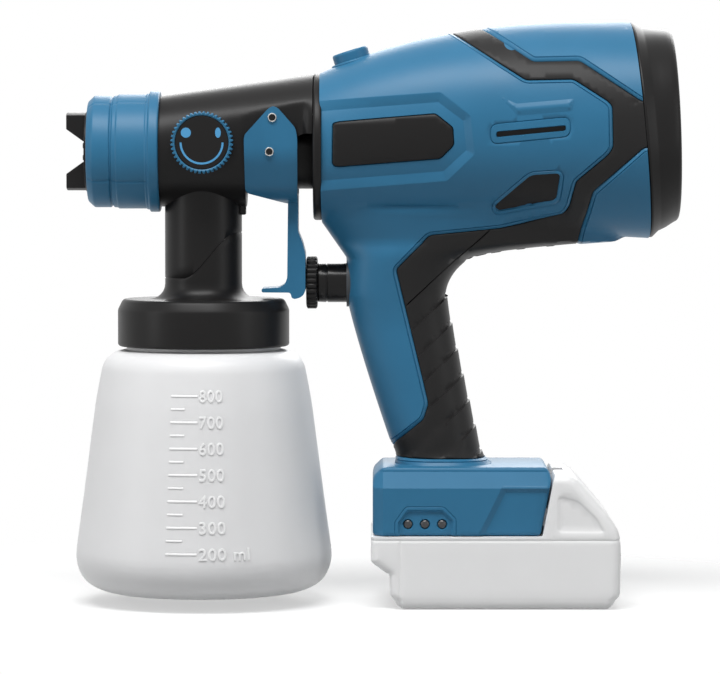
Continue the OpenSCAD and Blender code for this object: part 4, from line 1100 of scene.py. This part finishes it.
def trigger():
    """The blue trigger: two ears joined below the barrel, and the finger lever with its foot."""
    ears = [(-44.6, 225.6), (-46.8, 224.4), (-57.3, 212.8), (-57.7, 211), (-57.3, 188), (-56.2, 186.3)]
    ears += [(-38.3, 181.5), (-33.9, 181.5), (-33.8, 211), (-34.6, 215.7), (-42.4, 224.6)]
    half = [(9, 181.5), (16, 183.2), (22, 187.5), (EAR_OUT, 203), (EAR_OUT, 230)]
    inner = [(EAR_IN, 230), (EAR_IN, 203.5), (19.6, 189.6), (14.5, 186.4), (9, 185)]
    outside = half[::-1] + [(-y, z) for y, z in half + inner] + inner[::-1]
    lever = [(-38.3, 186), (-33.8, 186), (-33.8, 169), (-31.9, 164.4), (-30.5, 159), (-30.5, 142.5)]
    lever += [(-31.2, 140.4), (-32.9, 139), (-35.4, 138.4), (-36.7, 138.9), (-37.2, 141.3), (-50.3, 141.4)]
    lever += [(-50.3, 143.2), (-42.5, 143.6), (-40, 144.8), (-38.7, 147.8)]
    room = [(-70, 0), (-70, EAR_IN), (BARREL_REAR + 0.3, EAR_IN), (BARREL_REAR + 0.3, 0)]
    relief = box(-36.4, 204, -30, 224)
    body = slab("trigger_skin", rounded(outside, 5, 5), -60, -30, "YZ")
    body = joined(body, slab("ear_tool", rounded(ears, 1.6, 4), -40, 40), "INTERSECT")
    body = joined(body, slab("lever_tool", rounded(lever, 1.2, 3), -11, 11), "UNION")
    body = joined(body, turned("barrel_tool", room, (0, AXIS_Z), "X"), "DIFFERENCE")
    body = joined(body, slab("relief_tool", relief, -EAR_IN - 1, EAR_IN + 1), "DIFFERENCE")
    dressed(body, BLUE, "trigger", ("trigger",), bevel=0.6, sharp=30)


def pins():
    """The two hollow pins through the trigger's ears, each closed just inside its ends by a black disc that
    paints the shade in the hollow.
    """
    end = [(28.9, 2.0), (29.1, 1.8), (29.1, 1.6), (29.0, 1.5), (28.9, 1.45)]
    profile = [(-a, r) for a, r in reversed(end)] + end
    for name, body, spot, nodes in (
        ("pivot_pin", "trigger", (-45, 220.4), ("pivot_pin",)),
        ("needle_pin", "needle", (-46.3, AXIS_Z), ()),
    ):
        dressed(turned(f"{name}_skin", profile, spot, "Y", 32), STEEL, body, nodes)
        for side, sign in (("left", -1), ("right", 1)):
            # A black disc at each mouth of the hollow: painted shade, not a part of the pin.
            hole_shade = turned(f"{name}_core_{side}", [(sign * 28.95, 1.5), (sign * 28.97, 0)], spot, "Y", 32)
            dressed(hole_shade, BLACK, body)


# ---------------------------------------------------------------- small pieces of the body
def tilted_rings(name, rings, steps=160):
    """A ring built from circles that lean: (x and z of the centre, lean in degrees, radius)."""
    points = []
    for x, z, lean, radius in rings:
        lean = math.radians(lean)
        for turn in turns_of(steps):
            rise = radius * math.sin(turn)
            points.append((x - rise * math.sin(lean), radius * math.cos(turn), z + rise * math.cos(lean)))
    return solid(name, points, grid_faces(len(rings), steps))


def rear_end():
    """The rear cap ring and the filter cover with its slots."""
    middle = (BODY_TOP[1] + BODY_LOW[1]) / 2
    front = ((120.9, 45.5), (120.9, 48.6), (121.1, 48.9), (122.0, 48.9), (122.4, 48.7))
    rings = [(x, middle, 5.3, radius) for x, radius in front]
    rings += [(125.4, middle + 0.35, 5.25, 46.3), (126.4, middle + 0.4, 5.2, 45.95)]
    rings += [(130, middle + 0.8, 4, 45.0), (133.6, 216.4, 2.8, 43.9)]
    rings += [(135.3, 216.6, REAR_LEAN, 43.3), (136.2, 216.65, REAR_LEAN, 42.8)]
    rear = ((136.8, 42.0), (137.0, 41.2), (137.0, 39.9), (136.6, 39.6))
    rings += [(x, REAR_Z, REAR_LEAN, radius) for x, radius in rear] + [(132, 216.5, REAR_LEAN, 39.6)]
    dressed(tilted_rings("rear_cap_skin", rings), BLACK, "body", ("rear_cap",), sharp=60)
    start = (132.4, 216.5, REAR_LEAN, 34.2)
    rings = [start, (136.3, 216.68, REAR_LEAN, 34.2)]
    rear = ((136.7, 34.6), (136.9, 35.4), (136.9, 38.9), (136.6, 39.35))
    rings += [(x, REAR_Z, REAR_LEAN, radius) for x, radius in rear] + [(132.4, 216.5, REAR_LEAN, 39.4), start]
    dressed(tilted_rings("filter_cover_rim", rings), BLACK, "filter_cover", ("filter_cover",), sharp=60)
    lean = math.radians(REAR_LEAN)
    for k in range(COVER_BARS):
        rise = (k - (COVER_BARS - 1) / 2) * COVER_PITCH
        reach = math.sqrt(35**2 - rise**2)
        outline = []
        for a, b in box(-4.4, rise - 1.5, -0.1, rise + 1.5):
            x = 136.9 + a * math.cos(lean) - b * math.sin(lean)
            outline.append((x, REAR_Z + a * math.sin(lean) + b * math.cos(lean)))
        dressed(slab(f"filter_bar_{k}", outline, -reach, reach), BLACK, "filter_cover", bevel=0.5)


def bezel():
    """The black ring at the front of the body."""
    profile = [(-23.0, 20), (-26.6, 20), (-26.9, 20.4), (-26.9, 32.3), (-26.3, 33.1), (-25.6, 33.25)]
    profile += [(-23.6, 33.25), (-23.2, 33.0), (-23.0, 32.6)]
    skin = turned("front_bezel_skin", profile, (0, BEZEL_Z), "X", 160)
    dressed(skin, BLACK, "body", ("front_bezel",), sharp=50)


def flow_wave(angle, along, radius):
    """Axial ribs of the flow knob."""
    if radius < 11:
        return radius
    return radius - 0.7 * (0.5 + 0.5 * math.cos(angle * FLOW_RIBS)) ** 3


def flow_control():
    """The black flow knob and the plunger that it turns on."""
    knob = [(0, 0), (0, 10.4), (0.2, 11.2), (0.7, 11.9), (4.5, 11.9), (5.0, 11.2), (5.15, 10.4), (5.15, 3)]
    knob = [(FLOW_FRONT + d, r) for d, r in knob]
    skin = turned("flow_knob_skin", knob, (0, PLUNGER_Z), "X", FLOW_RIBS * 8, flow_wave)
    dressed(skin, BLACK, "flow_knob", ("flow_knob",), sharp=50)
    collar_end = [(5.2, 3), (5.2, 8.3), (5.5, 8.9), (9, 9), (9.1, 8.7), (9.7, 8.7), (9.8, 9)]
    profile = [(FLOW_FRONT + d, r) for d, r in collar_end] + [(8, 9), (8, 7.2), (-3.8, 7.2), (-3.8, 0)]
    skin = turned("plunger_skin", softened(profile, 0.25, 2), (0, PLUNGER_Z), "X")
    dressed(skin, GLOSS, "plunger", ("plunger",), sharp=50)


def release():
    """The release button on top, in its short collar."""
    button = [(-3, 8.3), (6.9, 8.3), (7.6, 8.1), (8, 7.5), (8, 6.2), (7.7, 5.6), (7.6, 0)]
    guide = [(-8, 9.2), (3.0, 10.0), (3.5, 9.6), (3.6, 9.1), (3.6, 8.5), (-8, 8.5)]
    lean = math.radians(BUTTON_LEAN)
    pieces = (("release_button", "release_button", button), ("button_guide", "body", guide))
    for node, body, profile in pieces:
        thing = turned(f"{node}_skin", softened(profile, 0.4, 3), (0, 0), "Z")
        for vertex in thing.data.vertices:
            x, y, z = vertex.co / MM
            across = BUTTON_X + x * math.cos(lean) - z * math.sin(lean)
            up = BUTTON_BASE + x * math.sin(lean) + z * math.cos(lean)
            vertex.co = Vector((across, y, up)) * MM
        dressed(thing, BLUE, body, (node,))


def lamps():
    """The three charge lamps in their pocket. The first one stands for the CAD node of all three."""
    profile = [(-34.9, 0), (-34.85, 1.0), (-34.6, 1.6), (-34.2, 1.95), (-33.2, 2.0), (-31.2, 2.0)]
    for k, spot in enumerate(LAMP_SPOTS):
        lens = turned(f"charge_lamp_{k}", profile, spot, "Y", 32)
        dressed(lens, LAMP, "body", ("charge_lamps",) if k == 0 else ())


# ---------------------------------------------------------------- stage
def backdrop_rays(tree):
    """1 for the rays that should see the plain backdrop: the camera's own, mirrored and transmitted ones."""
    path = tree.nodes.new("ShaderNodeLightPath")
    seen = path.outputs["Is Camera Ray"]
    for ray in ("Is Glossy Ray", "Is Transmission Ray"):
        either = tree.nodes.new("ShaderNodeMath")
        either.operation = "MAXIMUM"
        tree.links.new(seen, either.inputs[0])
        tree.links.new(path.outputs[ray], either.inputs[1])
        seen = either.outputs["Value"]
    return seen


def floor_paint():
    """Pale paint that thins out to the white backdrop, so that only the part's own shadow shows on it."""
    made = material("floor_paint", (0.93, 0.93, 0.93), 0.9, spread=0)
    tree = made.node_tree
    place = tree.nodes.new("ShaderNodeTexCoord")
    away = tree.nodes.new("ShaderNodeVectorMath")
    away.operation = "LENGTH"
    fade = tree.nodes.new("ShaderNodeMapRange")
    fade.interpolation_type = "SMOOTHSTEP"
    for socket, value in zip(("From Min", "From Max", "To Min", "To Max"), (*FLOOR_FADE, FLOOR_SHARE, 0)):
        fade.inputs[socket].default_value = value
    seen = tree.nodes.new("ShaderNodeMix")
    seen.inputs["A"].default_value = FLOOR_BOUNCE
    clear = tree.nodes.new("ShaderNodeBsdfTransparent")
    mixed = tree.nodes.new("ShaderNodeMixShader")
    wire(tree, place, "Object", away, 0)
    wire(tree, away, "Value", fade, "Value")
    tree.links.new(backdrop_rays(tree), seen.inputs["Factor"])
    wire(tree, fade, "Result", seen, "B")
    wire(tree, seen, "Result", mixed, "Fac")
    wire(tree, clear, "BSDF", mixed, 1)
    wire(tree, tree.nodes["Principled BSDF"], "BSDF", mixed, 2)
    wire(tree, mixed, "Shader", tree.nodes["Material Output"], "Surface")
    return made


def studio_world():
    """Soft light of a pale room, and a white backdrop for the rays that see it."""
    world = bpy.data.worlds.new("studio")
    bpy.context.scene.world = world
    world.use_nodes = True
    tree = world.node_tree
    tree.nodes.clear()
    out = tree.nodes.new("ShaderNodeOutputWorld")
    either = tree.nodes.new("ShaderNodeMixShader")
    room = tree.nodes.new("ShaderNodeBackground")
    room.inputs["Color"].default_value = (0.86, 0.88, 0.90, 1)
    room.inputs["Strength"].default_value = ROOM
    back = tree.nodes.new("ShaderNodeBackground")
    back.inputs["Color"].default_value = (1, 1, 1, 1)
    back.inputs["Strength"].default_value = 1.0
    tree.links.new(backdrop_rays(tree), either.inputs["Fac"])
    wire(tree, room, "Background", either, 1)
    wire(tree, back, "Background", either, 2)
    wire(tree, either, "Shader", out, "Surface")


def stage():
    """The pale floor, the backdrop, the lamps and the camera."""
    mesh = bpy.data.meshes.new("floor")
    corners = box(-FLOOR_HALF, -FLOOR_HALF, FLOOR_HALF, FLOOR_HALF)
    mesh.from_pydata([(x, y, 0) for x, y in corners], [], [(0, 1, 2, 3)])
    floor = placed("floor", mesh)
    floor.data.materials.append(floor_paint())
    floor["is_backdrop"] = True
    studio_world()
    for name, place, aim, size, power in STUDIO:
        lamp = bpy.data.lights.new(name, "AREA")
        lamp.shape = "RECTANGLE"
        lamp.size, lamp.size_y = size
        lamp.energy = power
        thing = placed(name, lamp)
        thing.location = place
        thing.rotation_euler = (Vector(aim) - Vector(place)).to_track_quat("-Z", "Y").to_euler()
    camera = placed("camera", bpy.data.cameras.new("camera"))
    camera.data.lens = CAMERA_LENS
    camera.data.sensor_width = 36
    camera.data.clip_start = 0.05
    camera.location = CAMERA_PLACE
    camera.rotation_euler = (Vector(CAMERA_AIM) - camera.location).to_track_quat("-Z", "Y").to_euler()
    scene = bpy.context.scene
    scene.camera = camera
    scene.view_settings.view_transform = "Standard"


# ---------------------------------------------------------------- the nodes that stay as they are
def carried():
    """The finishes of the CAD nodes that no piece stands for."""
    for name, thing in NODES.items():
        finish = FINISH.get(SLOT_OF.get(name))
        if finish and not thing.hide_render:
            thing.data.materials.clear()
            thing.data.materials.append(finish)


stage()
housing()
foot()
lamps()
battery()
release()
flow_control()
bezel()
rear_end()
cup()
scale()
neck()
barrel()
hood()
collar()
air_cap()
shape_knob()
trigger()
pins()
carried()
sizes["finished"] = plain(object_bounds())
